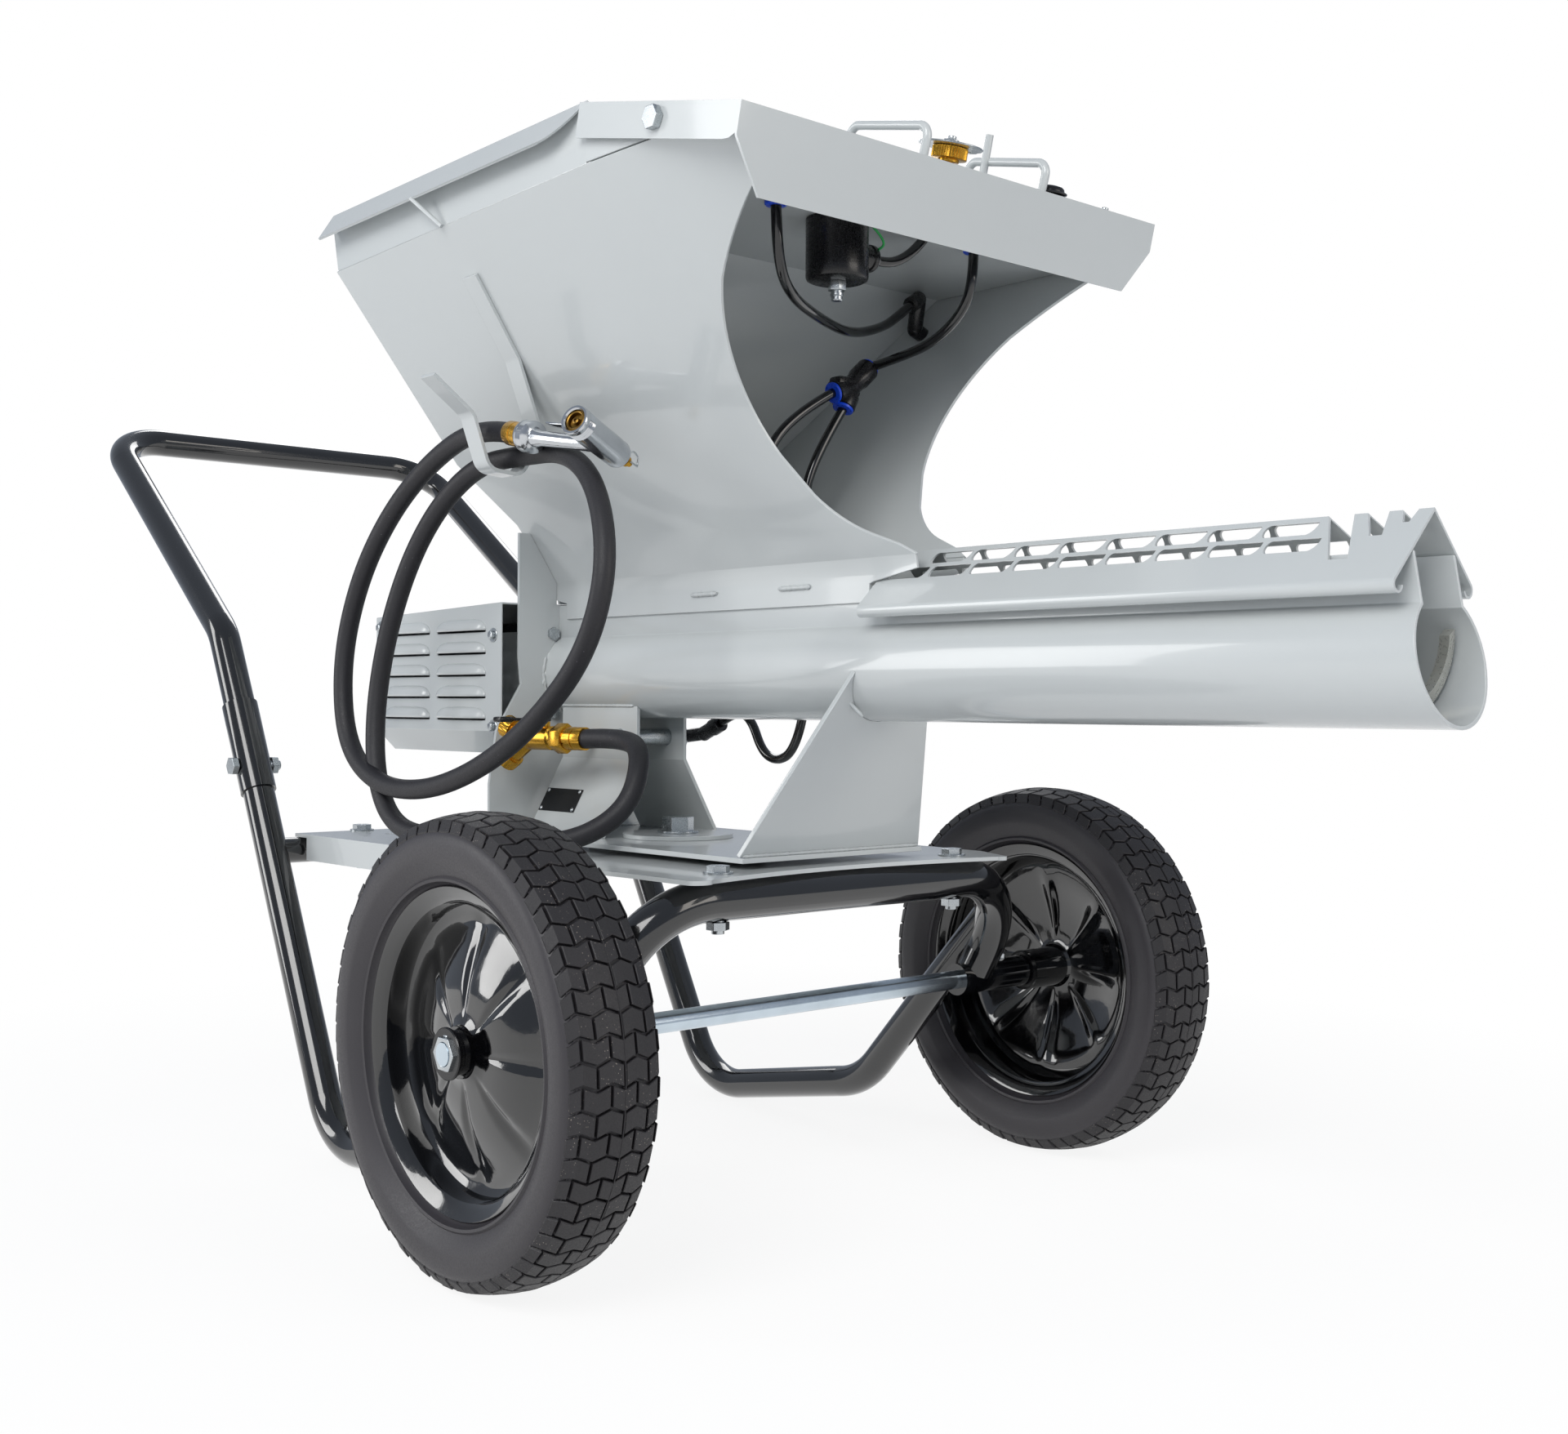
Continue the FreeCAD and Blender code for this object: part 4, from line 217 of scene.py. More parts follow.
def make_finishes(colours):
    """Every finish of the machine, each named for what the real surface is."""
    FINISHES.update({
        # polyester powder coat, baked: glossy, with a faint orange peel and no grain
        "powder_coat": finish(
            "grey_powder_coat", colours.panels, roughness=0.25, coat=0.5, grain_mm=6, grain=0.012,
            cloud_mm=240, tone=0.975, rough_swing=0.01, coat_rough=0.05),
        # gloss black powder coat on bent tube: deep, with sharp highlights
        "frame_coat": finish(
            "black_frame_coat", colours.frame, roughness=0.14, coat=0.9, grain_mm=3.5, grain=0.02,
            cloud_mm=120, tone=0.7, rough_swing=0.02, coat_rough=0.02),
        # stoved enamel on pressed steel: almost a mirror
        "wheel_enamel": finish(
            "black_wheel_enamel", colours.wheel, roughness=0.1, coat=1.0, grain_mm=9, grain=0.04,
            cloud_mm=70, tone=0.6, rough_swing=0.03, coat_rough=0.02),
        # moulded foam rubber: dull, dusty on the blocks
        "tyre_rubber": finish(
            "tyre_rubber", colours.rubber, roughness=0.55, grain_mm=1.3, grain=0.12, cloud_mm=45,
            tone=0.8, rough_swing=0.1, specks=(3.0, 0.14, linear("7D756E"))),
        # smooth moulded sidewall with a waxy bloom
        "sidewall_rubber": finish(
            "sidewall_rubber", shade(colours.rubber, 1.9), roughness=0.46, grain_mm=1.6, grain=0.12,
            cloud_mm=110, tone=0.86, rough_swing=0.07),
        # extruded rubber hose cover: matt, with faint lengthways drag marks
        "hose_rubber": finish(
            "hose_rubber", colours.hose, roughness=0.55, grain_mm=1.4, grain=0.2, cloud_mm=60,
            tone=0.82, rough_swing=0.08, specks=(6.0, 0.05, linear("6B6A70"))),
        # zinc plating, bright chromate: cool grey with a soft brushed sheen
        "zinc": finish(
            "zinc_plating", colours.zinc, metallic=1.0, roughness=0.3, grain_mm=0.9, grain=0.12,
            cloud_mm=16, tone=0.84, rough_swing=0.09),
        # ground and plated bar: fine marks that run round it
        "zinc_bar": finish(
            "zinc_plated_bar", linear("CFDCE6"), metallic=1.0, roughness=0.2, grain_mm=0.8, grain=0.08,
            cloud_mm=30, tone=0.88, rough_swing=0.05, stretch=(0.25, 4, 0.25)),
        # dull chrome on a die casting
        "nozzle_chrome": finish(
            "dull_chrome_casting", linear("C9CCD0"), metallic=1.0, roughness=0.17, grain_mm=2.4,
            grain=0.05, cloud_mm=22, tone=0.88, rough_swing=0.04),
        # turned brass bar, lightly oiled
        "brass": finish(
            "turned_brass", colours.brass, metallic=1.0, roughness=0.24, grain_mm=0.7, grain=0.12,
            cloud_mm=14, tone=0.8, rough_swing=0.08),
        # injection-moulded nylon: satin black
        "black_nylon": finish(
            "black_nylon", linear("0E0D10"), roughness=0.27, grain_mm=1.2, grain=0.06, cloud_mm=40,
            tone=0.8, rough_swing=0.06),
        # brass inside the nozzle's mouth: dulled by mortar water
        "dull_brass": finish(
            "dulled_brass", linear("8A6B33"), metallic=1.0, roughness=0.36, grain_mm=0.9, grain=0.1,
            cloud_mm=12, tone=0.7, rough_swing=0.08),
        # extruded polyurethane tube: smooth and shiny
        "black_tube": finish(
            "polyurethane_tube", linear("0B0B0E"), roughness=0.14, coat=0.5, grain_mm=5, grain=0.02,
            cloud_mm=60, tone=0.8, rough_swing=0.04),
        # moulded acetal release collars: bright, smooth blue
        "blue_collar": finish(
            "acetal_collar", colours.collar, roughness=0.3, grain_mm=2, grain=0.03, cloud_mm=20,
            tone=0.85, rough_swing=0.05),
        # earth lead's vinyl sleeve: a clear green with a soft shine
        "green_sleeve": finish(
            "green_lead", linear("17A34A"), roughness=0.35, grain_mm=2, grain=0.03, cloud_mm=20,
            tone=0.85, rough_swing=0.05),
        # rubbed steel of a screw that mortar has polished, with grey film left on it
        "auger_steel": finish(
            "mortar_worn_steel", linear("CFCFC8"), metallic=0.6, roughness=0.32, grain_mm=2.2, grain=0.1,
            cloud_mm=35, tone=0.75, rough_swing=0.08),
        # machined iron casting: dark, dull metal with a coarse skin
        "casting": finish(
            "machined_casting", linear("5A5C60"), metallic=0.6, roughness=0.45, grain_mm=2.5, grain=0.25,
            cloud_mm=40, tone=0.7, rough_swing=0.1),
        # sprayed enamel on the motor's shell: dark grey, satin
        "motor_enamel": finish(
            "motor_enamel", linear("2B2D31"), roughness=0.42, grain_mm=2.5, grain=0.12, cloud_mm=50,
            tone=0.8, rough_swing=0.08),
        # anodised aluminium plate, left blank: near black with a soft metal sheen
        "plate": finish(
            "anodised_plate", linear("1A1B1E"), metallic=0.4, roughness=0.38, grain_mm=0.9, grain=0.08,
            cloud_mm=30, tone=0.8, rough_swing=0.06, stretch=(0.3, 1, 3)),
        # weld metal under the powder coat: lumpy, the panels' own grey
        "weld": finish(
            "coated_weld", colours.panels, roughness=0.34, coat=0.3, grain_mm=4, grain=0.5, cloud_mm=18,
            tone=0.88, rough_swing=0.08),
        # acetal ring that the turret slides on: plain grey, satin
        "wear_ring": finish(
            "bearing_ring", linear("8C8F90"), roughness=0.4, grain_mm=2, grain=0.06, cloud_mm=60,
            tone=0.85, rough_swing=0.07),
    })


# Mesh tools
def store(name, bm, finish_name, body, stands_for=(), smooth=40, cleaned=True):
    """Turns a bmesh in millimetres into a piece that rides on a body."""
    if cleaned:
        bmesh.ops.remove_doubles(bm, verts=bm.verts, dist=0.004)
        bmesh.ops.recalc_face_normals(bm, faces=bm.faces)
    bmesh.ops.scale(bm, verts=bm.verts, vec=(MM, MM, MM))
    mesh = bpy.data.meshes.new(name)
    bm.to_mesh(mesh)
    bm.free()
    return present(name, mesh, finish_name, body, stands_for, smooth)


def present(name, data, finish_name, body, stands_for=(), smooth=40):
    """Puts a mesh or curve in the scene, on its body and in place of the nodes it stands for."""
    piece = bpy.data.objects.new(name, data)
    bpy.context.scene.collection.objects.link(piece)
    data.materials.append(FINISHES[finish_name])
    if isinstance(data, bpy.types.Mesh):
        data.shade_smooth()
        data.set_sharp_from_angle(angle=math.radians(smooth))
    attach(piece, body)
    if stands_for:
        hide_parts(*stands_for)
    return piece


def facing(start, towards):
    """The matrix that stands local Z along a direction, with its origin at the start."""
    turn = Vector(towards).to_track_quat("Z", "Y").to_matrix().to_4x4()
    return Matrix.Translation(Vector(start)) @ turn


def lathe(bm, profile, start, towards, steps=48, flutes=None):
    """Turns a profile of (distance, radius) about an axis; flutes is (count, depth, low, high)."""
    made = [bm.verts.new((radius, 0, distance)) for distance, radius in profile]
    edges = [bm.edges.new(pair) for pair in zip(made, made[1:])]
    bmesh.ops.spin(
        bm, geom=made + edges, cent=(0, 0, 0), axis=(0, 0, 1), angle=math.tau, steps=steps, use_merge=True)
    verts = connected(made)
    if flutes:
        count, depth, low, high = flutes
        for v in verts:
            if low <= v.co.z <= high:
                cut = depth * (0.5 + 0.5 * math.cos(count * math.atan2(v.co.y, v.co.x)))
                v.co.xy *= 1 - cut / max(math.hypot(v.co.x, v.co.y), 1e-6)
    bmesh.ops.transform(bm, matrix=facing(start, towards), verts=verts)
    return verts


def connected(verts):
    """Every vertex joined by edges to these."""
    seen, queue = set(verts), list(verts)
    while queue:
        for edge in queue.pop().link_edges:
            for v in edge.verts:
                if v not in seen:
                    seen.add(v)
                    queue.append(v)
    return list(seen)


def drum(bm, start, towards, radius, length, corner=0.8, steps=32):
    """A closed cylinder with eased edges."""
    inset = corner * 0.3
    lathe(bm, [
        (0, 0.0), (0, radius - corner), (inset, radius - inset), (corner, radius),
        (length - corner, radius), (length - inset, radius - inset), (length, radius - corner),
        (length, 0.0),
    ], start, towards, steps)


def rod(bm, begin, end, radius):
    """A closed cylinder from one point to another."""
    drum(bm, begin, end - begin, radius, (end - begin).length, 0.6)


def ball(bm, centre, radius):
    """A ball that fills the bend between two rods."""
    bmesh.ops.create_uvsphere(
        bm, u_segments=24, v_segments=16, radius=radius, matrix=Matrix.Translation(centre))


def ring(bm, start, towards, inner, outer, length, corner=0.5, steps=48):
    """A washer or sleeve with eased outer edges."""
    lathe(bm, [
        (0, inner), (0, outer - corner), (corner, outer), (length - corner, outer), (length, outer - corner),
        (length, inner), (0, inner),
    ], start, towards, steps)


def eased(bm, made, offset):
    """Rounds every edge of a new shape and returns all of its vertices."""
    edges = {e for v in made for e in v.link_edges}
    shaped = bmesh.ops.bevel(
        bm, geom=list(edges), offset=offset, segments=2, profile=0.5, affect="EDGES", material=-1,
        clamp_overlap=True)["verts"]
    return connected(shaped)


def hexagon(bm, start, towards, flats, length, turn=0.0, corner=1.0):
    """A six-sided nut or head whose corners are turned down at both ends."""
    radius = flats / math.sqrt(3)
    made = bmesh.ops.create_cone(
        bm, cap_ends=True, segments=6, radius1=radius, radius2=radius, depth=length,
        matrix=Matrix.Translation((0, 0, length / 2)) @ Matrix.Rotation(turn, 4, "Z"))["verts"]
    verts = eased(bm, made, corner * 0.6)
    bmesh.ops.transform(bm, matrix=facing(start, towards), verts=verts)


def slab(bm, low, high, corner=0.6, matrix=None):
    """A box with eased edges."""
    centre = (Vector(low) + Vector(high)) / 2
    size = Vector(high) - Vector(low)
    made = bmesh.ops.create_cube(
        bm, size=1, matrix=Matrix.Translation(centre) @ Matrix.Diagonal((*size, 1)))["verts"]
    verts = eased(bm, made, corner)
    if matrix is not None:
        bmesh.ops.transform(bm, matrix=matrix, verts=verts)


def route(name, points, diameter, finish_name, body, radii=None, kind="NURBS", stands_for=(), sides=6):
    """A round curve through a route in millimetres."""
    curve = bpy.data.curves.new(name, "CURVE")
    curve.dimensions = "3D"
    curve.bevel_depth = diameter / 2 * MM
    curve.bevel_resolution = sides
    curve.resolution_u = 10
    curve.use_fill_caps = True
    spline = curve.splines.new(kind)
    spline.points.add(len(points) - 1)
    for i, point in enumerate(points):
        spline.points[i].co = (*(Vector(point) * MM), 1)
        spline.points[i].radius = radii[i] if radii else 1.0
    if kind == "NURBS":
        spline.order_u = 3
        spline.use_endpoint_u = True
    spline.use_smooth = True
    return present(name, curve, finish_name, body, stands_for)


def bead(name, start, end, width, seed):
    """A weld bead on the turret: a run of small overlapping ripples."""
    ripple = 3.2
    count = max(4, int((end - start).length / ripple))
    points = [start.lerp(end, i / count) for i in range(count + 1)]
    radii = [
        (0.55 if i in (0, count) else 1.0) * (0.86 + 0.2 * (i % 2) + 0.1 * math.sin(seed + 2.3 * i))
        for i in range(count + 1)
    ]
    route(name, points, width, "weld", "turret", radii, "POLY", sides=2)


def dressed(node, finish_name, edge_mm):
    """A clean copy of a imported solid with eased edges, in place of the node."""
    bm = bmesh.new()
    bm.from_mesh(frame["nodes"][node].data)
    bmesh.ops.remove_doubles(bm, verts=bm.verts, dist=2e-6)
    bmesh.ops.dissolve_limit(bm, angle_limit=math.radians(0.6), verts=bm.verts, edges=bm.edges)
    mesh = bpy.data.meshes.new(node + "_skin")
    bm.to_mesh(mesh)
    bm.free()
    piece = present(node + "_skin", mesh, finish_name, frame["nodes"][node]["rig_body"], (node,), 35)
    ease = piece.modifiers.new("ease", "BEVEL")
    ease.width = edge_mm * MM
    ease.segments = 2
    ease.limit_method = "ANGLE"
    ease.angle_limit = math.radians(38)
    ease.harden_normals = True


def row(x, y, z):
    """A point in the part's frame from one measured from the axle."""
    return Vector((x + AXLE, y, z))


# Operators
class MixerOperator:
    """What the operators share."""

    bl_options = {"REGISTER", "UNDO"}


class MIXER_OT_finishes(MixerOperator, bpy.types.Operator):
    """Make the finishes and put them on the solids that are shown as they are"""

    bl_idname = "mixer.finishes"
    bl_label = "Finishes"

    def execute(self, context):
        make_finishes(context.scene.mixer_colours)
        kept = {
            "auger_steel": ["auger"], "casting": ["motor_rotor"], "motor_enamel": ["motor"],
            "black_nylon": ["right_hub_bush", "left_hub_bush"], "zinc_bar": ["axle"],
            "powder_coat": ["bails"], "wear_ring": ["swivel_bearing"],
            "frame_coat": [
                "handle", "right_side_tube", "left_side_tube", "front_arch", "rear_cross_tube",
                "axle_housings",
            ],
        }
        for finish_name, names in kept.items():
            for name in names:
                node = frame["nodes"][name]
                node.data.materials.clear()
                node.data.materials.append(FINISHES[finish_name])
        return {"FINISHED"}


class MIXER_OT_sheet_metal(MixerOperator, bpy.types.Operator):
    """Ease the edges of the folded and cut plates"""

    bl_idname = "mixer.sheet_metal"
    bl_label = "Sheet metal"

    def execute(self, context):
        for node in (
            "trough", "trough_guard", "right_wing", "left_wing", "right_lip", "left_lip", "rear_wall",
            "front_wall", "console_cover", "console_tray", "motor_guard", "back_plate", "right_bracket",
            "left_bracket", "front_support", "turret_base", "deck", "hose_hook",
        ):
            dressed(node, "powder_coat", 0.6)
        dressed("gearbox", "powder_coat", 2.0)
        dressed("auger_bearing", "casting", 0.8)
        dressed("pivot_disc", "powder_coat", 0.5)
        for node in (
            "deck_bolts", "handle_bolts", "pivot_bolt", "console_bolts", "gearbox_bolts", "axle_nuts",
        ):
            dressed(node, "zinc", 0.9)
        # flat washers under the deck's bolt heads
        bm = bmesh.new()
        for (x, y), side in product(((54, 155), (-640, 143)), (-1, 1)):
            ring(bm, row(x, side * y, 344), (0, 0, 1), 9.6, 14.0, 1.8, 0.4, 40)
        store("deck_washers", bm, "zinc", "frame", smooth=32)
        return {"FINISHED"}


# The tyre's section: how far inside the widest point the tread ends and how much lower than its
# middle it is there, how far below the tread the widest point lies, and where the bead meets the rim
TREAD_IN = 5
TREAD_DROP = 7
WIDEST_DROP = 34
BEAD = (35.0, 143.0)
# Width of a tread block, how far it zigzags, how far past the width the outer ones reach round
# the shoulder, and the distance from the middle at which they start to sink
BLOCK = 24
ZIGZAG = 5.0
REACH = 11
FADE_FROM = 46


def crown(across, radius, half):
    """Radius of the tread at a distance from its middle."""
    bend = ((half - TREAD_IN) ** 2 + TREAD_DROP ** 2) / (2 * TREAD_DROP)
    return radius - bend + math.sqrt(max(bend * bend - across * across, 0))


class MIXER_OT_tyres(MixerOperator, bpy.types.Operator):
    """Model both tyres, with their tread blocks and sidewalls"""

    bl_idname = "mixer.tyres"
    bl_label = "Tyres"

    def execute(self, context):
        sizes = context.scene.mixer_tyres
        radius, half = sizes.radius / MM, sizes.width / MM / 2
        groove, gap = sizes.groove / MM, sizes.gap / MM
        pitch = math.tau / sizes.pitches
        step = pitch * radius
        centre = Vector(shoulder_centre(radius, half))
        bend = (Vector((half, radius - WIDEST_DROP)) - centre).length
        edge = half - TREAD_IN
        end = half + REACH
        shoulder = math.atan2(radius - TREAD_DROP - centre.y, edge - centre.x)

        def section(across, height):
            """Distance from the middle and radius at a distance along the tread's surface."""
            u = abs(across)
            if u <= edge:
                return across, crown(u, radius, half) + height
            angle = shoulder - (u - edge) / bend
            out = centre.x + (bend + height) * math.cos(angle)
            return math.copysign(out, across), centre.y + (bend + height) * math.sin(angle)

        for name, y in (("left", -TRACK), ("right", TRACK)):
            bm = bmesh.new()
            for i, grooves in enumerate((
                (-end, -BLOCK, 0, BLOCK, end),
                (-end, -1.5 * BLOCK, -0.5 * BLOCK, 0.5 * BLOCK, 1.5 * BLOCK, end),
            )):
                for low, high in zip(grooves, grooves[1:]):
                    low += gap / 2 if low > -end else 0
                    high -= gap / 2 if high < end else 0
                    kinks = [k * BLOCK / 2 for k in range(-6, 7)]
                    stations = [low, *[k for k in kinks if low + 1 < k < high - 1], high]
                    block(bm, section, stations, i * step, step - gap, groove, radius)
            bmesh.ops.spin(
                bm, geom=bm.verts[:] + bm.edges[:] + bm.faces[:], cent=(0, 0, 0), axis=(0, 1, 0),
                angle=-pitch * (sizes.pitches - 2), steps=sizes.pitches // 2 - 1, use_duplicate=True)
            bmesh.ops.recalc_face_normals(bm, faces=bm.faces)
            # the mould's parting line
            lathe(bm, [
                (-0.5, radius - 5), (-0.4, radius + 0.1), (0, radius + 0.3), (0.4, radius + 0.1),
                (0.5, radius - 5), (-0.5, radius - 5),
            ], (0, 0, 0), (0, 1, 0), 144)
            bmesh.ops.translate(bm, verts=bm.verts, vec=(AXLE, y, AXLE_Z))
            store(name + "_tread", bm, "tyre_rubber", name + "_wheel", smooth=28, cleaned=False)

            # bead against the rim's flange, a rib, the sidewall and the floor of the tread's grooves
            bm = bmesh.new()
            half_profile = [
                (23.0, 128.2), (24.3, 129.0), (25.8, 131.4), (27.4, 135.2), (28.8, 139.6), (29.5, 141.2),
                (33.0, 143.5), (37.5, 145.0), (38.2, 147.5), (36.6, 149.5),
            ]
            half_profile += [section(edge + u, 0) for u in (34, 29, 24, 19, 14)]
            half_profile += [section(edge + 10, -1.2)]
            half_profile += [section(u, -groove) for u in (half - 1, half - 6, 30, 20, 10)]
            mirror = [(-a, r) for a, r in reversed(half_profile)]
            profile = [*half_profile, section(0, -groove), *mirror, half_profile[0]]
            verts = lathe(bm, profile, (0, 0, 0), (0, 1, 0), 144)
            bmesh.ops.translate(bm, verts=verts, vec=(AXLE, y, AXLE_Z))
            store(name + "_carcass", bm, "sidewall_rubber", name + "_wheel", (name + "_tyre",), smooth=50)
        return {"FINISHED"}


def shoulder_centre(radius, half):
    """Centre of the circle through the rim edge, the widest point and the tread's edge."""
    (ax, ay), (bx, by), (cx, cy) = BEAD, (half, radius - WIDEST_DROP), (half - TREAD_IN, radius - TREAD_DROP)
    a, b, c = ax ** 2 + ay ** 2, bx ** 2 + by ** 2, cx ** 2 + cy ** 2
    d = 2 * (ax * (by - cy) + bx * (cy - ay) + cx * (ay - by))
    x = (a * (by - cy) + b * (cy - ay) + c * (ay - by)) / d
    y = (a * (cx - bx) + b * (ax - cx) + c * (bx - ax)) / d
    return x, y


def block(bm, section, stations, along, run, depth, radius):
    """One tread block: a strip on the tread's surface, raised, with zigzag ends and eased edges."""
    parts = len(stations) - 1
    made = bmesh.ops.create_grid(bm, x_segments=parts, y_segments=1, size=0.5)["verts"]
    faces = list({f for v in made for f in v.link_faces})
    raised = bmesh.ops.extrude_face_region(bm, geom=faces)["geom"]
    top = {v for v in raised if isinstance(v, bmesh.types.BMVert)}
    for v in [*made, *top]:
        across = stations[round((v.co.x + 0.5) * parts)]
        zigzag = ZIGZAG * (1 - abs(2 * (across / BLOCK % 1.0) - 1))
        fade = 0.85 * min(1, max(0, abs(across) - FADE_FROM) / 10)
        height = -depth * fade if v in top else -depth - 0.4
        v.co = Vector((across, along + zigzag + run * (v.co.y + 0.5), height))
    edges = [
        e for e in {e for v in top for e in v.link_edges}
        if all(v in top for v in e.verts) and not all(w in top for f in e.link_faces for w in f.verts)
    ]
    bmesh.ops.bevel(
        bm, geom=edges, offset=0.6, segments=1, profile=0.5, affect="EDGES", material=-1, clamp_overlap=True)
    for v in connected(made):
        across, s, t = v.co
        y, r = section(across, t)
        angle = s / radius
        v.co = Vector((r * math.cos(angle), y, r * math.sin(angle)))


class MIXER_OT_wheel_discs(MixerOperator, bpy.types.Operator):
    """Model the pressed wheel discs with their radial flutes, and the hubs"""

    bl_idname = "mixer.wheel_discs"
    bl_label = "Wheel discs"

    def execute(self, context):
        sizes = context.scene.mixer_discs
        lip, depth, count = sizes.lip / MM, sizes.flute / MM, sizes.flutes
        for side, body in ((-1, "left_wheel"), (1, "right_wheel")):
            name = "left" if side < 0 else "right"
            flange = [
                (23.0, 127.9), (24.6, 128.7), (26.2, 131.0), (27.8, 135.0), (29.2, 139.4), (30.8, lip),
                (32.0, 140.2), (31.6, 138.8), (30.2, 135.6), (28.4, 131.4), (26.6, 128.2), (24.6, 126.2),
            ]
            outline = [
                *[(-a, r) for a, r in reversed(flange)], *flange,
                (20.0, 125.5), (10.0, 125.4), (6.0, 124.0), (3.4, 119), (2.2, 112.0),
                (3.6, 104.0), (7.4, 93.0), (11.6, 82.0), (15.4, 70), (18.2, 58.0), (19.8, 46.0), (20.6, 36.0),
                (21.4, 28.0), (23.5, 23.0), (28.0, 22.0), (28.0, 13.5), (-38.0, 13.5), (-38.0, 22.0),
                (14.0, 22.0), (17.0, 24.5), (18.2, 30.0), (17.4, 46.0), (15.8, 58.0), (13.0, 70), (9.2, 82.0),
                (5.0, 93.0), (1.2, 104.0), (-0.3, 112.0), (0.8, 119), (3.2, 125.4), (-10.0, 125.4),
                (-20.0, 125.5), (-24.6, 126.2),
            ]
            bm = bmesh.new()
            verts = lathe(bm, [(side * a, r) for a, r in outline], (0, 0, 0), (0, 1, 0), 144)
            # the flutes are pressed between these two radii
            inner, outer = 30, 118
            for v in verts:
                r = math.hypot(v.co.x, v.co.z)
                if inner < r < outer and side * v.co.y > -6 and abs(v.co.y) < 25:
                    wave = math.cos(count * math.atan2(v.co.z, v.co.x))
                    window = math.sin(math.pi * (r - inner) / (outer - inner)) ** 0.8
                    v.co.y -= side * depth * window * (max(0, wave) ** 5 - 0.12)
            bmesh.ops.translate(bm, verts=bm.verts, vec=(AXLE, side * TRACK, AXLE_Z))
            store(name + "_disc", bm, "wheel_enamel", body, (name + "_wheel_disc",), smooth=32)

            # dust ring and washer at the hub's outer end
            bm = bmesh.new()
            for out, across, thick in ((31.3, 20.0, 4.0), (35.6, 22.5, 3.4)):
                at = Vector((AXLE, side * TRACK + side * out, AXLE_Z))
                ring(bm, at, (0, side, 0), 10.3, across, thick, 0.9)
            store(name + "_hub_ring", bm, "black_nylon", body, smooth=32)
        return {"FINISHED"}


class MIXER_OT_axle_ends(MixerOperator, bpy.types.Operator):
    """Model the split pins through the axle's ends and the grease nipples"""

    bl_idname = "mixer.axle_ends"
    bl_label = "Axle ends"

    def execute(self, context):
        for side, name in ((-1, "left"), (1, "right")):
            end = Vector((AXLE, side * 405.0, AXLE_Z))
            bm = bmesh.new()
            for offset in (-1.1, 1.1):
                drum(bm, end + Vector((offset, 0, -15)), (0.05 * offset, 0, 1), 1.1, 29, 0.3, 12)
            drum(bm, end + Vector((-3, 0, 15)), (1, 0, 0), 1.3, 6, 0.3, 12)
            store(name + "_split_pin", bm, "zinc", "frame", smooth=40)
        bm = bmesh.new()
        for y in (-292, 292):
            at = Vector((AXLE, y, AXLE_Z + 16.4))
            out = Vector((0.12, 0, 1)).normalized()
            hexagon(bm, at, out, 9, 6, corner=0.5)
            lathe(bm, [
                (0, 0), (0, 3.2), (2.4, 3.4), (2.8, 4.6), (4.4, 4.6), (4.8, 3.0), (6.2, 3.0), (6.8, 4.2),
                (8.4, 4.2), (9.0, 2.2), (10.2, 2.2), (11.2, 3.1), (12.4, 2.6), (13, 1.4), (13, 0),
            ], at + out * 5.6, out, 24)
        store("grease_nipples", bm, "zinc", "frame", smooth=40)
        return {"FINISHED"}


# The hose from the valve to the nozzle, each point measured from the axle
HOSE_ROUTE = [
    (-249, -90, 461), (-190, -78, 464), (-134, -101, 446), (-124, -126, 392), (-168, -164, 357.5),
    (-240, -206, 357), (-325, -230, 357), (-400, -234, 366), (-446, -230, 415), (-461, -223, 490),
    (-449, -215, 575), (-415, -206, 655), (-362, -199, 713), (-303, -188, 749), (-240, -179.5, 752),
    (-163, -174, 751), (-76, -198, 706), (-34, -216, 625), (-62, -221, 545), (-135, -226, 482),
    (-225, -231, 434), (-325, -237, 406), (-425, -239, 408), (-500, -237, 450), (-522, -232, 540),
    (-496, -226, 630), (-442, -217, 704), (-372, -205, 758), (-286, -200, 784.4), (-225, -200, 771.5),
]
VALVE_HEAD = row(*HOSE_ROUTE[0])
VALVE_AXIS = Vector((-0.979, -0.205, 0)).normalized()
NOZZLE_START = row(*HOSE_ROUTE[-1])
NOZZLE_AXIS = Vector((0.979, 0, -0.207)).normalized()


class MIXER_OT_hose(MixerOperator, bpy.types.Operator):
    """Lay the rubber hose in its two loops"""

    bl_idname = "mixer.hose"
    bl_label = "Hose"

    def execute(self, context):
        diameter = context.scene.mixer_hose.diameter / MM
        hose = route("water_hose", [row(*p) for p in HOSE_ROUTE], diameter, "hose_rubber", "turret",
                     stands_for=("hose",), sides=10)
        bm = bmesh.new()
        for start_at, axis in ((NOZZLE_START, NOZZLE_AXIS), (VALVE_HEAD, VALVE_AXIS)):
            lathe(bm, [
                (0, 10.6), (0, 12.2), (0.8, 12.5), (12, 12.5), (12.4, 11.6), (13.6, 11.6), (14, 12.5),
                (25.4, 12.5), (26, 12.0), (26, 8.0), (0, 8.0), (0, 10.6),
            ], start_at, axis, 96, (24, 0.8, 1.0, 11.8))
        ferrules = store("crimped_ferrules", bm, "brass", "turret", ("hose_ferrules",), smooth=30)
        return {"FINISHED"}


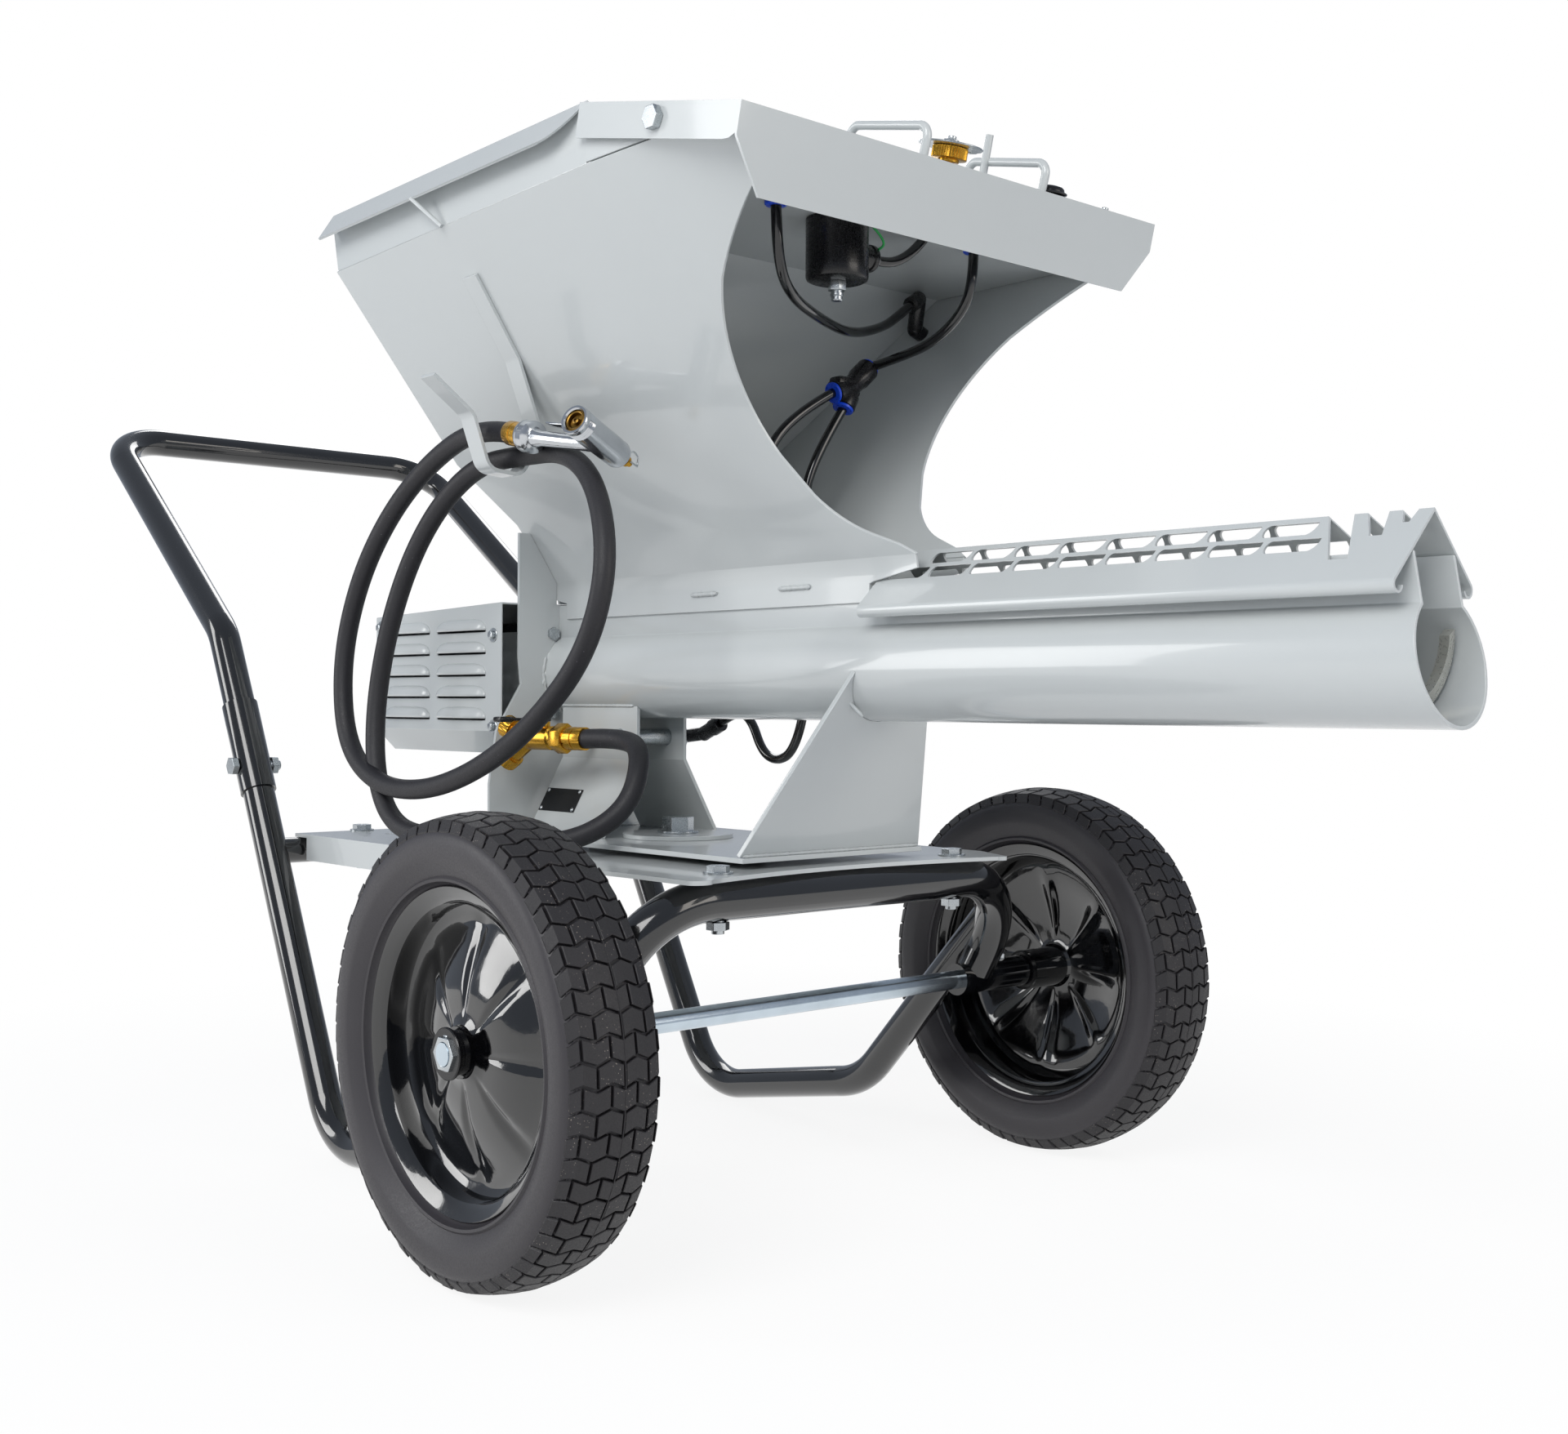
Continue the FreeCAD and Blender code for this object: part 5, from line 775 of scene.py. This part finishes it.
class MIXER_OT_nozzle(MixerOperator, bpy.types.Operator):
    """Model the spray nozzle and its trigger"""

    bl_idname = "mixer.nozzle"
    bl_label = "Spray nozzle"

    def execute(self, context):
        rear, front = row(-84, -166, 737), row(-60, -238, 763)
        axis = (front - rear).normalized()
        neck = rear + axis * 24
        foot = NOZZLE_START + NOZZLE_AXIS * 44
        bm = bmesh.new()
        lathe(bm, [
            (0, 0), (0, 13.4), (1, 15.2), (3.6, 16.4), (5, 16.4), (5.6, 15.4), (7.0, 15.4), (7.6, 16.4),
            (16, 16.4), (17.6, 14.4), (20, 10.4), (20, 0),
        ], NOZZLE_START + NOZZLE_AXIS * 26.2, NOZZLE_AXIS, 48)
        along = neck - foot
        reach = along.length
        lathe(bm, [
            (0, 0), (0, 9.6), (5, 9.0), (14, 7.6), (reach * 0.5, 7.2), (reach - 22, 7.8), (reach - 10, 9.6),
            (reach, 11.0), (reach, 0),
        ], foot, along, 40)
        lathe(bm, [
            (0, 0), (0, 10.5), (1.5, 12.6), (5, 13.8), (18, 14.2), (48, 14.4), (64, 14.6), (65, 13.9),
            (66, 14.8), (67.2, 14.0), (68.4, 14.9), (69.6, 14.0), (70.8, 14.9), (72, 14.0),
            (73.4, 14.9), (77.6, 15.0), (79, 14.2), (79, 12.0), (77.5, 10.9), (70, 10.6), (70, 0),
        ], rear, axis, 64)
        # lug that carries the trigger's pin, on the handle's upper side
        handle_axis = (foot - neck).normalized()
        up = handle_axis.cross(axis).normalized()
        if up.z < 0:
            up = -up
        drum(bm, neck + handle_axis * 31, up, 3.6, 12.8, 0.4, 20)
        store("nozzle_casting", bm, "nozzle_chrome", "turret", ("nozzle_body",), smooth=32)

        bm = bmesh.new()
        lathe(bm, [
            (0, 10.4), (6.2, 10.4), (7.0, 9.2), (6.4, 8.0), (2.4, 7.2), (2.0, 3.4), (6.0, 3.2), (6.6, 1.6),
            (5.2, 1.2), (5.2, 0),
        ], rear + axis * 70.4, axis, 48)
        store("nozzle_jet", bm, "dull_brass", "turret", smooth=32)
        bm = bmesh.new()
        lathe(bm, [
            (0, 0), (0, 3.4), (5, 3.8), (5.2, 5.6), (9, 5.8), (9.4, 4.2), (15.5, 4.2), (16, 3.4), (16, 0),
        ], rear - axis * 15.6, axis, 32)
        store("nozzle_spindle", bm, "brass", "turret", smooth=32)
        # sprung wire loop behind the head
        base = rear - axis * 9
        loop = [
            base + up * 4 + handle_axis * 6, base + up * 13 - axis * 2, base + up * 12 - axis * 14,
            base - axis * 18 + up * 3, base - axis * 12 - handle_axis * 7, base - handle_axis * 6,
        ]
        route("nozzle_wire", loop, 1.8, "zinc", "turret", sides=3)

        sides = handle_axis.cross(up).normalized()
        turn = Matrix((sides, handle_axis, up)).transposed().to_4x4()
        at = Matrix.Translation(neck + handle_axis * 27 + up * 13) @ turn
        # the trigger's lever, bowed and widest at its middle
        bm = bmesh.new()
        lever = 69
        slab(bm, (-4.5, 0, 0), (4.5, lever, 2.2), 0.5)
        long_edges = [e for e in bm.edges if abs((e.verts[0].co - e.verts[1].co).y) > lever / 2]
        bmesh.ops.subdivide_edges(bm, edges=long_edges, cuts=8)
        for v in bm.verts:
            share = v.co.y / lever
            v.co.z += 1.6 * math.sin(math.pi * share) ** 2 + 2.0 * share ** 4
            v.co.x *= 0.85 + 0.25 * math.sin(math.pi * share)
        bmesh.ops.transform(bm, matrix=at, verts=bm.verts)
        store("nozzle_lever", bm, "nozzle_chrome", "trigger", ("nozzle_trigger",), smooth=40)
        return {"FINISHED"}


class MIXER_OT_valve(MixerOperator, bpy.types.Operator):
    """Model the brass valve with its two inlets and its lever"""

    bl_idname = "mixer.valve"
    bl_label = "Ball valve"

    def execute(self, context):
        def at(distance, rise=0.0):
            return VALVE_HEAD + VALVE_AXIS * distance + Vector((0, 0, rise))

        bm = bmesh.new()
        hexagon(bm, at(26.2), VALVE_AXIS, 29, 15, corner=1.6)
        lathe(bm, [
            (0, 0), (0, 11.5), (2, 12.2), (4, 11.4), (7, 11.4), (9, 13.0), (36, 13.0), (39, 12.2), (42, 13.0),
            (49, 13.0), (50, 12.0), (50, 0),
        ], at(40), VALVE_AXIS, 48)
        for drop, end_rise in ((-4, 13), (-6, -26)):
            end, begin = at(119, end_rise), at(84, drop * 0.5)
            axis = (end - begin).normalized()
            reach = (end - begin).length
            lathe(bm, [
                (0, 0), (0, 9.5), (reach - 15, 9.5), (reach - 14.5, 10.5), (reach - 14, 10.5),
            ], begin, axis, 40)
            lathe(bm, [
                (0, 10), (0, 12.4), (0.8, 13.0), (13.2, 13.0), (14, 12.4), (14, 10.2), (4, 9.6), (4, 0),
            ], end - axis * 14, axis, 96, (16, 1.2, 0.5, 13.4))
        # the branch that runs in to the cross pipe
        stem = at(62)
        pipe_end = -34.0
        drum(bm, stem, Vector((0, pipe_end - stem.y, 0)), 7.8, pipe_end - stem.y, 0.5)
        hexagon(bm, Vector((stem.x, stem.y + 14, stem.z)), (0, 1, 0), 19, 9, corner=0.8)
        drum(bm, stem, (0, 0, 1), 7, 18, 0.6)
        store("valve_brass", bm, "brass", "turret", ("ball_valve",), smooth=32)

        foot = stem + Vector((0, 0, 18.3))
        bm = bmesh.new()
        drum(bm, foot, (0, 0, 1), 8, 4)
        slab(bm, foot + Vector((-5, -46, 0.4)), foot + Vector((5, 0, 3.6)), 0.8)
        slab(bm, foot + Vector((-8, -60, -1)), foot + Vector((8, -42, 5)), 2.4)
        store("valve_handle", bm, "black_nylon", "valve_lever", ("valve_lever",), smooth=40)
        return {"FINISHED"}


# The thin tubes, each point measured from the axle
TUBES = {
    "supply_tube": [
        (130, -155, 938.9), (128, -152, 895), (110, -122, 868), (74, -50, 862), (16, 44, 870),
        (-4, 108, 889), (-12, 140, 908), (-17, 162, 923),
    ],
    "return_tube": [
        (137, 93, 938.9), (136, 93, 905), (119, 92, 878), (84, 91, 858), (40, 90, 850), (-3, 88, 845),
    ],
    "near_tail": [
        (0, 34, 812), (-3, -6, 790), (-8, -44, 752), (-13, -51, 702), (-17, -27, 657), (-20, -9, 618),
    ],
    "far_tail": [(0, 48, 797), (-3, 26, 764), (-9, 8, 722), (-15, 4, 672), (-20, 13, 622)],
    "trough_tube": [
        (-204, 60, 479), (-179, 60.5, 491.5), (-154, 60, 483), (-137, 60.5, 448), (-112, 60, 438),
        (-87, 60.5, 448), (-68, 60, 490), (-62, 60.5, 560), (-58, 62, 640), (-54, 98, 720),
        (-49, 160, 812), (-45, 213, 884),
    ],
}


class MIXER_OT_water_tubes(MixerOperator, bpy.types.Operator):
    """Run the thin water tubes and model their push-in fittings"""

    bl_idname = "mixer.water_tubes"
    bl_label = "Water tubes"

    def execute(self, context):
        diameter = context.scene.mixer_hose.tube / MM
        for name, points in TUBES.items():
            stands_for = ("water_tubes",) if name == "supply_tube" else ()
            route(name, [row(*p) for p in points], diameter, "black_tube", "turret", stands_for=stands_for)
        nylon, collars = bmesh.new(), bmesh.new()
        middle = row(0, 60, 822)
        for joined in (TUBES["return_tube"][-1], TUBES["near_tail"][0], TUBES["far_tail"][0]):
            end = row(*joined)
            reach = (end - middle).length
            lathe(nylon, [
                (0, 0), (0, 10.5), (reach * 0.3, 10.5), (reach * 0.4, 12.0), (reach - 3.5, 12.0),
                (reach - 3, 11.0), (reach - 3, 0),
            ], middle, end - middle, 32)
            ring(collars, end - (end - middle).normalized() * 3.2, end - middle, 5.1, 10.8, 3.2, 0.6, 32)
        slab(nylon, middle + Vector((-9, -24, -12)), middle + Vector((9, 6, 8)), 4)
        # elbow through the far side wall
        stations = [
            (row(*TUBES["supply_tube"][-1]), 8.4), (row(-27, 184, 934), 8.4), (row(-38, 190, 904), 8.2),
            (row(-45, 221, 898), 7.2), (row(*TUBES["trough_tube"][-1]), 7.2),
        ]
        for (begin, radius), (end, _) in zip(stations, stations[1:]):
            rod(nylon, begin, end, radius)
        for centre, radius in stations[1:-1]:
            ball(nylon, centre, radius)
        entry, bend = stations[0][0], stations[1][0]
        ring(nylon, entry, entry - bend, 5.1, 7.8, 2.2, 0.5, 32)
        store("push_in_bodies", nylon, "black_nylon", "turret", ("tube_splitter",), smooth=40)
        for name in ("supply_tube", "return_tube"):
            x, y = TUBES[name][0][:2]
            ring(collars, row(x, y, 937.5), (0, 0, 1), 5.1, 10.4, 5.4, 1.2, 40)
            ring(collars, row(x, y, 942.5), (0, 0, 1), 4.0, 6.0, 12, 0.4, 32)
        store("release_collars", collars, "blue_collar", "turret", ("push_fittings",), smooth=40)
        return {"FINISHED"}


class MIXER_OT_water_pipe(MixerOperator, bpy.types.Operator):
    """Model the plated cross pipe, its nut and the nylon elbow on its far end"""

    bl_idname = "mixer.water_pipe"
    bl_label = "Water pipe"

    def execute(self, context):
        x, z, across = -265, 462, (0, 1, 0)
        bm = bmesh.new()
        lathe(bm, [
            (0, 6.6), (0, 8.4), (0.6, 9.0), (90, 9.0), (90, 6.6), (0, 6.6),
        ], row(x, -39.8, z), across)
        hexagon(bm, row(x, 38.2, z), across, 24, 13.8, math.radians(30), corner=1.4)
        store("cross_pipe", bm, "zinc", "turret", ("water_pipe",), smooth=32)
        bm = bmesh.new()
        turn, end = row(-235, 60, 466), row(*TUBES["trough_tube"][0])
        rod(bm, row(x, 52, z), turn, 7.4)
        ball(bm, turn, 8.4)
        lathe(bm, [
            (0, 0), (0, 8.2), (16, 8.2), (17, 9.4), (31, 9.4), (31.8, 8.6), (31.8, 0),
        ], turn, end - turn, 32)
        store("pipe_elbow", bm, "black_nylon", "turret", smooth=40)
        return {"FINISHED"}


class MIXER_OT_controls(MixerOperator, bpy.types.Operator):
    """Model the flow knob, the switch boot and the coil under the console"""

    bl_idname = "mixer.controls"
    bl_label = "Controls"

    def execute(self, context):
        # the console's face falls 53 mm in 225, and its controls stand square to it
        up = Vector((0.2293, 0, 0.9733)).normalized()
        knob, switch, screw = (169.5, 20), (188, 145), (203.5, 210)

        def face(place, rise):
            """A point so far above the console's face."""
            x, y = place
            z = 1035 - (x + 5) * 53 / 225
            return row(x, y, z) + up * rise

        # knurled drum on its stem, under a zinc pointer plate
        bm = bmesh.new()
        lathe(bm, [(0, 0), (0, 4.9), (23, 4.9), (23, 0)], face(knob, -14), up, 32)
        lathe(bm, [
            (0, 0), (0, 9.5), (0.6, 10), (2.4, 10), (2.6, 15.8), (3.2, 16.8),
            *[(3.6 + i * 0.5, 16.8) for i in range(20)], (13.4, 16.2), (14, 15.2), (14, 0),
        ], face(knob, 9), up, 160, (40, 0.9, 3.5, 13.2))
        store("knob_drum", bm, "brass", "knob", ("flow_knob",), smooth=30)
        top = face(knob, 23)
        bm = bmesh.new()
        ring(bm, top, up, 4.2, 30.4, 1.6, 0.5, 96)
        hexagon(bm, top + up * 1.6, up, 13, 5)
        drum(bm, top + up * 6.4, up, 4.0, 3.4, 0.8, 24)
        sideways, downhill = Vector((0, 1, 0)), Vector((-up.z, 0, up.x))
        turn = Matrix((sideways, downhill, up)).transposed().to_4x4()
        slab(bm, (22, -5, -0.4), (30.6, 5, 5.6), 0.5, Matrix.Translation(top) @ turn)
        store("knob_plate", bm, "zinc", "knob", smooth=30)
        bm = bmesh.new()
        hexagon(bm, face(knob, 0.1), up, 17, 5)
        ring(bm, face(knob, 5.1), up, 5.1, 8.0, 3, 0.4, 32)
        drum(bm, face(knob, -30), up, 11, 27)
        store("knob_gland", bm, "brass", "turret", ("flow_valve",), smooth=32)

        bm = bmesh.new()
        lathe(bm, [
            (0, 0), (0, 8.8), (16.2, 8.8), (16.4, 14.6), (17.2, 16.2), (18.4, 16.4), (19.2, 15.4),
            (19.6, 13.6), (22.4, 12.8), (24.0, 10.8), (24.8, 7.0), (25, 0),
        ], face(switch, -12), up, 40)
        store("switch_cap", bm, "black_nylon", "switch", ("switch_boot",), smooth=40)
        bm = bmesh.new()
        ring(bm, face(switch, 0.05), up, 9.6, 18.0, 1.8, 0.5, 48)
        store("switch_bezel", bm, "black_nylon", "turret", smooth=40)
        bm = bmesh.new()
        drum(bm, face(screw, 0.05), up, 5.4, 1.4, 0.3)
        drum(bm, face(screw, 1.4), up, 3.6, 3.6, 1.2)
        store("cover_screw", bm, "zinc", "turret", smooth=40)

        # coil and its side outlet, with the plated spigot below
        x, y, across, upright = 120, -72, (0, 1, 0), (0, 0, 1)
        bm = bmesh.new()
        lathe(bm, [
            (0, 0), (0, 25.5), (1.2, 28.0), (3.5, 29.0), (12, 29.0), (56.4, 29.0), (56.8, 28.4), (56.8, 0),
        ], row(x, y, 886), upright, 64)
        lathe(bm, [
            (0, 0), (0, 11.8), (12, 11.4), (13, 12.6), (17, 12.6), (18.5, 11.6), (20, 9.0), (20, 0),
        ], row(x, -46, 914), across, 32)
        store("coil_case", bm, "black_nylon", "turret", ("solenoid_valve",), smooth=32)
        bm = bmesh.new()
        ring(bm, row(x, -28, 914), across, 5.0, 10.6, 2.2, 0.6, 32)
        hexagon(bm, row(x, y, 877.6), upright, 15, 8.4, corner=0.8)
        lathe(bm, [
            (0, 0), (0, 4.4), (1, 5.2), (4, 5.2), (4.6, 6.2), (7, 6.2), (7.6, 5.0), (10, 5.0), (10, 0),
        ], row(x, y, 868.2), upright, 24)
        store("coil_spigot", bm, "zinc", "turret", smooth=32)
        lead = ((120, -27, 914), (121, -12, 913), (123, 6, 918), (127, 22, 930), (129, 32, 942))
        route("coil_lead", [row(*p) for p in lead], 9.5, "black_tube", "turret")
        lead = ((124, -32, 920), (134, -24, 922), (139, -34, 932), (136, -50, 943))
        route("earth_lead", [row(*p) for p in lead], 2.4, "green_sleeve", "turret", sides=3)
        return {"FINISHED"}


class MIXER_OT_louvres(MixerOperator, bpy.types.Operator):
    """Press the louvre hoods into the motor guard and add its screws"""

    bl_idname = "mixer.louvres"
    bl_label = "Louvres"

    def execute(self, context):
        # where the guard's wall stands, and half a hood's length, its depth and its height
        wall_y = 104.8
        half, out, tall = 54, 6.5, 13
        pitch = 25
        bm = bmesh.new()
        for side, middle, i in product((-1, 1), (-600.5, -477.5), range(5)):
            centre = row(middle, side * (wall_y - 0.2), 481 + pitch * i)
            made = bmesh.ops.create_uvsphere(
                bm, u_segments=40, v_segments=14, radius=1.0,
                matrix=Matrix.Translation(centre) @ Matrix.Diagonal((half, out, tall, 1)))["verts"]
            for v in made:
                # squared ends, as a press tool leaves them
                share = (v.co.x - centre.x) / half
                v.co.x = centre.x + half * math.copysign(abs(share) ** 0.4, share)
            edges = {e for v in made for e in v.link_edges}
            faces = {f for v in made for f in v.link_faces}
            cut = bmesh.ops.bisect_plane(
                bm, geom=[*made, *edges, *faces], plane_co=centre, plane_no=(0, 0, -1),
                clear_outer=True)["geom"]
            bmesh.ops.bisect_plane(
                bm, geom=[g for g in cut if g.is_valid], plane_co=(0, side * wall_y, 0),
                plane_no=(0, -side, 0), clear_outer=True)
        hoods = store("louvre_hoods", bm, "powder_coat", "turret", smooth=50)
        wall = hoods.modifiers.new("wall", "SOLIDIFY")
        wall.thickness = MM
        wall.offset = -1
        bm = bmesh.new()
        for side, (x, z) in product((-1, 1), ((-408, 575), (-408, 472), (-664, 590), (-664, 470))):
            at = row(x, side * 105, z)
            ring(bm, at, (0, side, 0), 0.2, 8.0, 1.2, 0.4, 32)
            hexagon(bm, at + Vector((0, side * 1.2, 0)), (0, side, 0), 9, 4, corner=0.8)
        store("guard_screws", bm, "zinc", "turret", smooth=32)
        return {"FINISHED"}


class MIXER_OT_plate(MixerOperator, bpy.types.Operator):
    """Model the blank plate and its four rivets"""

    bl_idname = "mixer.plate"
    bl_label = "Blank plate"

    def execute(self, context):
        dressed("data_plate", "plate", 0.3)
        # the bracket leans out by this much for each millimetre down
        slope = 46.2 / 83
        normal = Vector((0, -1, slope)).normalized()
        bm = bmesh.new()
        for x, rise in product((-369, -309), (-11, 11)):
            z = 391 + rise * math.cos(math.atan(slope))
            y = -(34 + (438 - z) * slope)
            at = row(x, y, z) + normal * 1.1
            lathe(bm, [(0, 0), (0, 2.4), (0.6, 2.2), (1.3, 1.2), (1.5, 0)], at, normal, 20)
        store("plate_rivets", bm, "zinc", "turret", smooth=50)
        return {"FINISHED"}


class MIXER_OT_welds(MixerOperator, bpy.types.Operator):
    """Lay the visible weld beads"""

    bl_idname = "mixer.welds"
    bl_label = "Weld beads"

    def execute(self, context):
        runs = [
            ((-375, -34.6, 496.5), (-240, -34.6, 496.5), 3.2),
            ((-375, 34.6, 496.5), (-240, 34.6, 496.5), 3.2),
            ((-140, -34.6, 611.5), (-98, -34.6, 611.8), 5.0),
            ((-2, -34.6, 612.0), (44, -34.6, 612.2), 5.0),
            ((-140, 34.6, 611.5), (-98, 34.6, 611.8), 5.0),
            ((-387.4, -52, 520), (-387.4, -44, 556), 4.0),
            ((-387.4, 52, 520), (-387.4, 44, 556), 4.0),
            ((43, -116, 356.4), (43, 116, 356.4), 3.4),
            ((-375, -80, 356), (-240, -80, 356), 3.4),
            ((-375, 80, 356), (-240, 80, 356), 3.4),
            ((-387.4, -110, 356.4), (-387.4, 110, 356.4), 3.4),
            ((118, -34, 488), (104, -48, 508), 4.0),
            ((118, 34, 488), (104, 48, 508), 4.0),
        ]
        for i, (first, last, width) in enumerate(runs):
            bead(f"panel_weld_{i}", row(*first), row(*last), width, i)
        # thin stay between the left lip's edge and the wing
        route("lip_stay", [row(-290, -277.5, 1006.5), row(-257, -261.5, 975)], 4.6, "powder_coat", "turret",
              kind="POLY")
        # round the open rear end of the trough
        radius = 52
        turns = [math.radians(a) for a in range(-200, 21, 20)]
        corners = [row(-387.4, radius * math.cos(a), AUGER_Z + radius * math.sin(a)) for a in turns]
        for i, (first, last) in enumerate(zip(corners, corners[1:])):
            bead(f"trough_weld_{i}", first, last, 4.2, i)
        return {"FINISHED"}


class MIXER_OT_stage(MixerOperator, bpy.types.Operator):
    """Set the floor, the soft lights, the white surround and the camera"""

    bl_idname = "mixer.stage"
    bl_label = "Stage"

    def execute(self, context):
        sizes = context.scene.mixer_stage
        scene = context.scene
        bm = bmesh.new()
        bmesh.ops.create_grid(bm, x_segments=1, y_segments=1, size=sizes.floor)
        mesh = bpy.data.meshes.new("floor")
        bm.to_mesh(mesh)
        bm.free()
        floor = bpy.data.objects.new("floor", mesh)
        scene.collection.objects.link(floor)
        floor.location.z = -0.0005
        # painted studio floor: near white, and white outright where only the camera looks
        paint = bpy.data.materials.new("studio_floor")
        paint.use_nodes = True
        tree = paint.node_tree
        tree.nodes.clear()
        noise = add(tree, "ShaderNodeTexNoise", {
            "Vector": add(tree, "ShaderNodeTexCoord").outputs["Object"], "Scale": 2.0, "Detail": 2.0})
        tone = add(tree, "ShaderNodeValToRGB", {"Fac": noise.outputs["Fac"]}, [
            (0.3, linear("F2F2F2")), (0.7, linear("F6F6F6"))]).outputs["Color"]
        diffuse = add(tree, "ShaderNodeBsdfDiffuse", {"Color": tone, "Roughness": 0.6})
        glow = add(tree, "ShaderNodeEmission", {"Color": WHITE, "Strength": 1.0})
        path = add(tree, "ShaderNodeLightPath")
        seen = add(tree, "ShaderNodeMath", {
            0: path.outputs["Is Camera Ray"], 1: path.outputs["Is Glossy Ray"]}, operation="MAXIMUM")
        # close to the machine a share of the painted floor stays, so that its shadow shows
        place = add(tree, "ShaderNodeTexCoord").outputs["Object"]
        away = add(tree, "ShaderNodeVectorMath", {0: place}, operation="LENGTH").outputs["Value"]
        clear = add(tree, "ShaderNodeMapRange", {
            "Value": away, "From Min": 0.7, "From Max": 1.5, "To Min": 0.88, "To Max": 1.0})
        share = add(tree, "ShaderNodeMath", {
            0: seen.outputs["Value"], 1: clear.outputs["Result"]}, operation="MULTIPLY")
        mixed = add(tree, "ShaderNodeMixShader", {
            0: share.outputs["Value"], 1: diffuse.outputs["BSDF"], 2: glow.outputs["Emission"]})
        add(tree, "ShaderNodeOutputMaterial", {"Surface": mixed.outputs["Shader"]})
        mesh.materials.append(paint)

        world = bpy.data.worlds.new("studio")
        scene.world = world
        world.use_nodes = True
        tree = world.node_tree
        tree.nodes.clear()
        path = add(tree, "ShaderNodeLightPath")
        seen = add(tree, "ShaderNodeMath", {
            0: path.outputs["Is Camera Ray"], 1: path.outputs["Is Transmission Ray"]}, operation="MAXIMUM")
        even = add(tree, "ShaderNodeBackground", {"Color": linear("DCE6F6"), "Strength": sizes.surround})
        white = add(tree, "ShaderNodeBackground", {"Color": WHITE, "Strength": 1.0})
        both = add(tree, "ShaderNodeMixShader", {
            0: seen.outputs["Value"], 1: even.outputs["Background"], 2: white.outputs["Background"]})
        add(tree, "ShaderNodeOutputWorld", {"Surface": both.outputs["Shader"]})

        # each lamp's place and aim in metres, its size and its power
        for name, at, aim, size, power in (
            ("key", (1.5, -3.0, 2.5), (0, 0, 0.6), (2.4, 1.8), sizes.key),
            ("fill", (3.2, 0.9, 1.6), (0.2, 0, 0.5), (1.8, 1.8), sizes.fill * 0.95),
            ("back", (-2.4, 1.6, 2.4), (0, 0, 0.7), (2.0, 1.4), sizes.fill),
            ("left", (-2.2, -3.0, 1.4), (0, -0.1, 0.6), (1.0, 2.2), sizes.fill * 1.2),
        ):
            lamp = bpy.data.lights.new(name, "AREA")
            lamp.shape = "RECTANGLE"
            lamp.size, lamp.size_y = size
            lamp.energy = power
            lamp.color = (1.0, 0.94, 0.86) if name == "fill" else (1.0, 0.995, 0.98)
            light = bpy.data.objects.new(name, lamp)
            light.location = at
            light.rotation_euler = (Vector(aim) - Vector(at)).to_track_quat("-Z", "Y").to_euler()
            scene.collection.objects.link(light)

        # the photograph's viewpoint: its size, focal length and centre are in its own pixels
        width, height = 1920, 1756
        focal, centre_x, centre_y = 2178.325, 1001.346, 879.05
        yaw, pitch, roll = 0.831306, 0.0077315, 0.0053302
        back = Vector((math.sin(yaw) * math.cos(pitch), -math.cos(yaw) * math.cos(pitch), math.sin(pitch)))
        right = (-back).cross(Vector((0, 0, 1))).normalized()
        up = right.cross(-back)
        right, up = (
            math.cos(roll) * right + math.sin(roll) * up,
            -math.sin(roll) * right + math.cos(roll) * up,
        )
        camera_data = bpy.data.cameras.new("camera")
        camera = bpy.data.objects.new("camera", camera_data)
        turn = Matrix((right, up, back)).transposed().to_4x4()
        camera.matrix_world = Matrix.Translation(row(1314.745, -1182.74, 499.319) * MM) @ turn
        camera_data.sensor_width = 36
        camera_data.lens = focal / width * camera_data.sensor_width
        camera_data.shift_x = -(centre_x - width / 2) / width
        camera_data.shift_y = (centre_y - height / 2) / width
        camera_data.clip_start = 0.05
        camera_data.clip_end = 60
        scene.collection.objects.link(camera)
        scene.camera = camera
        scene.view_settings.view_transform = "Standard"
        return {"FINISHED"}


OPERATORS = [
    MIXER_OT_finishes, MIXER_OT_sheet_metal, MIXER_OT_tyres, MIXER_OT_wheel_discs, MIXER_OT_axle_ends,
    MIXER_OT_hose, MIXER_OT_nozzle, MIXER_OT_valve, MIXER_OT_water_tubes, MIXER_OT_water_pipe,
    MIXER_OT_controls, MIXER_OT_louvres, MIXER_OT_plate, MIXER_OT_welds, MIXER_OT_stage,
]


class MIXER_PT_panel(bpy.types.Panel):
    """The mixer's sizes, colours and pieces"""

    bl_label = "Mortar mixer"
    bl_idname = "MIXER_PT_panel"
    bl_space_type = "VIEW_3D"
    bl_region_type = "UI"
    bl_category = "Mixer"

    def draw(self, context):
        for name, kind in SETTINGS.items():
            box = self.layout.box()
            box.label(text=kind.__name__)
            for key in kind.__annotations__:
                box.prop(getattr(context.scene, name), key)
        for operator in OPERATORS:
            self.layout.operator(operator.bl_idname)


def register():
    for kind in [*SETTINGS.values(), *OPERATORS, MIXER_PT_panel]:
        bpy.utils.register_class(kind)
    for name, kind in SETTINGS.items():
        setattr(bpy.types.Scene, name, PointerProperty(type=kind))


def unregister():
    for name in SETTINGS:
        delattr(bpy.types.Scene, name)
    for kind in reversed([*SETTINGS.values(), *OPERATORS, MIXER_PT_panel]):
        bpy.utils.unregister_class(kind)


def main():
    register()
    for operator in OPERATORS:
        getattr(bpy.ops.mixer, operator.bl_idname.split(".")[1])()
    bpy.context.view_layer.update()


if __name__ == "__main__":
    main()
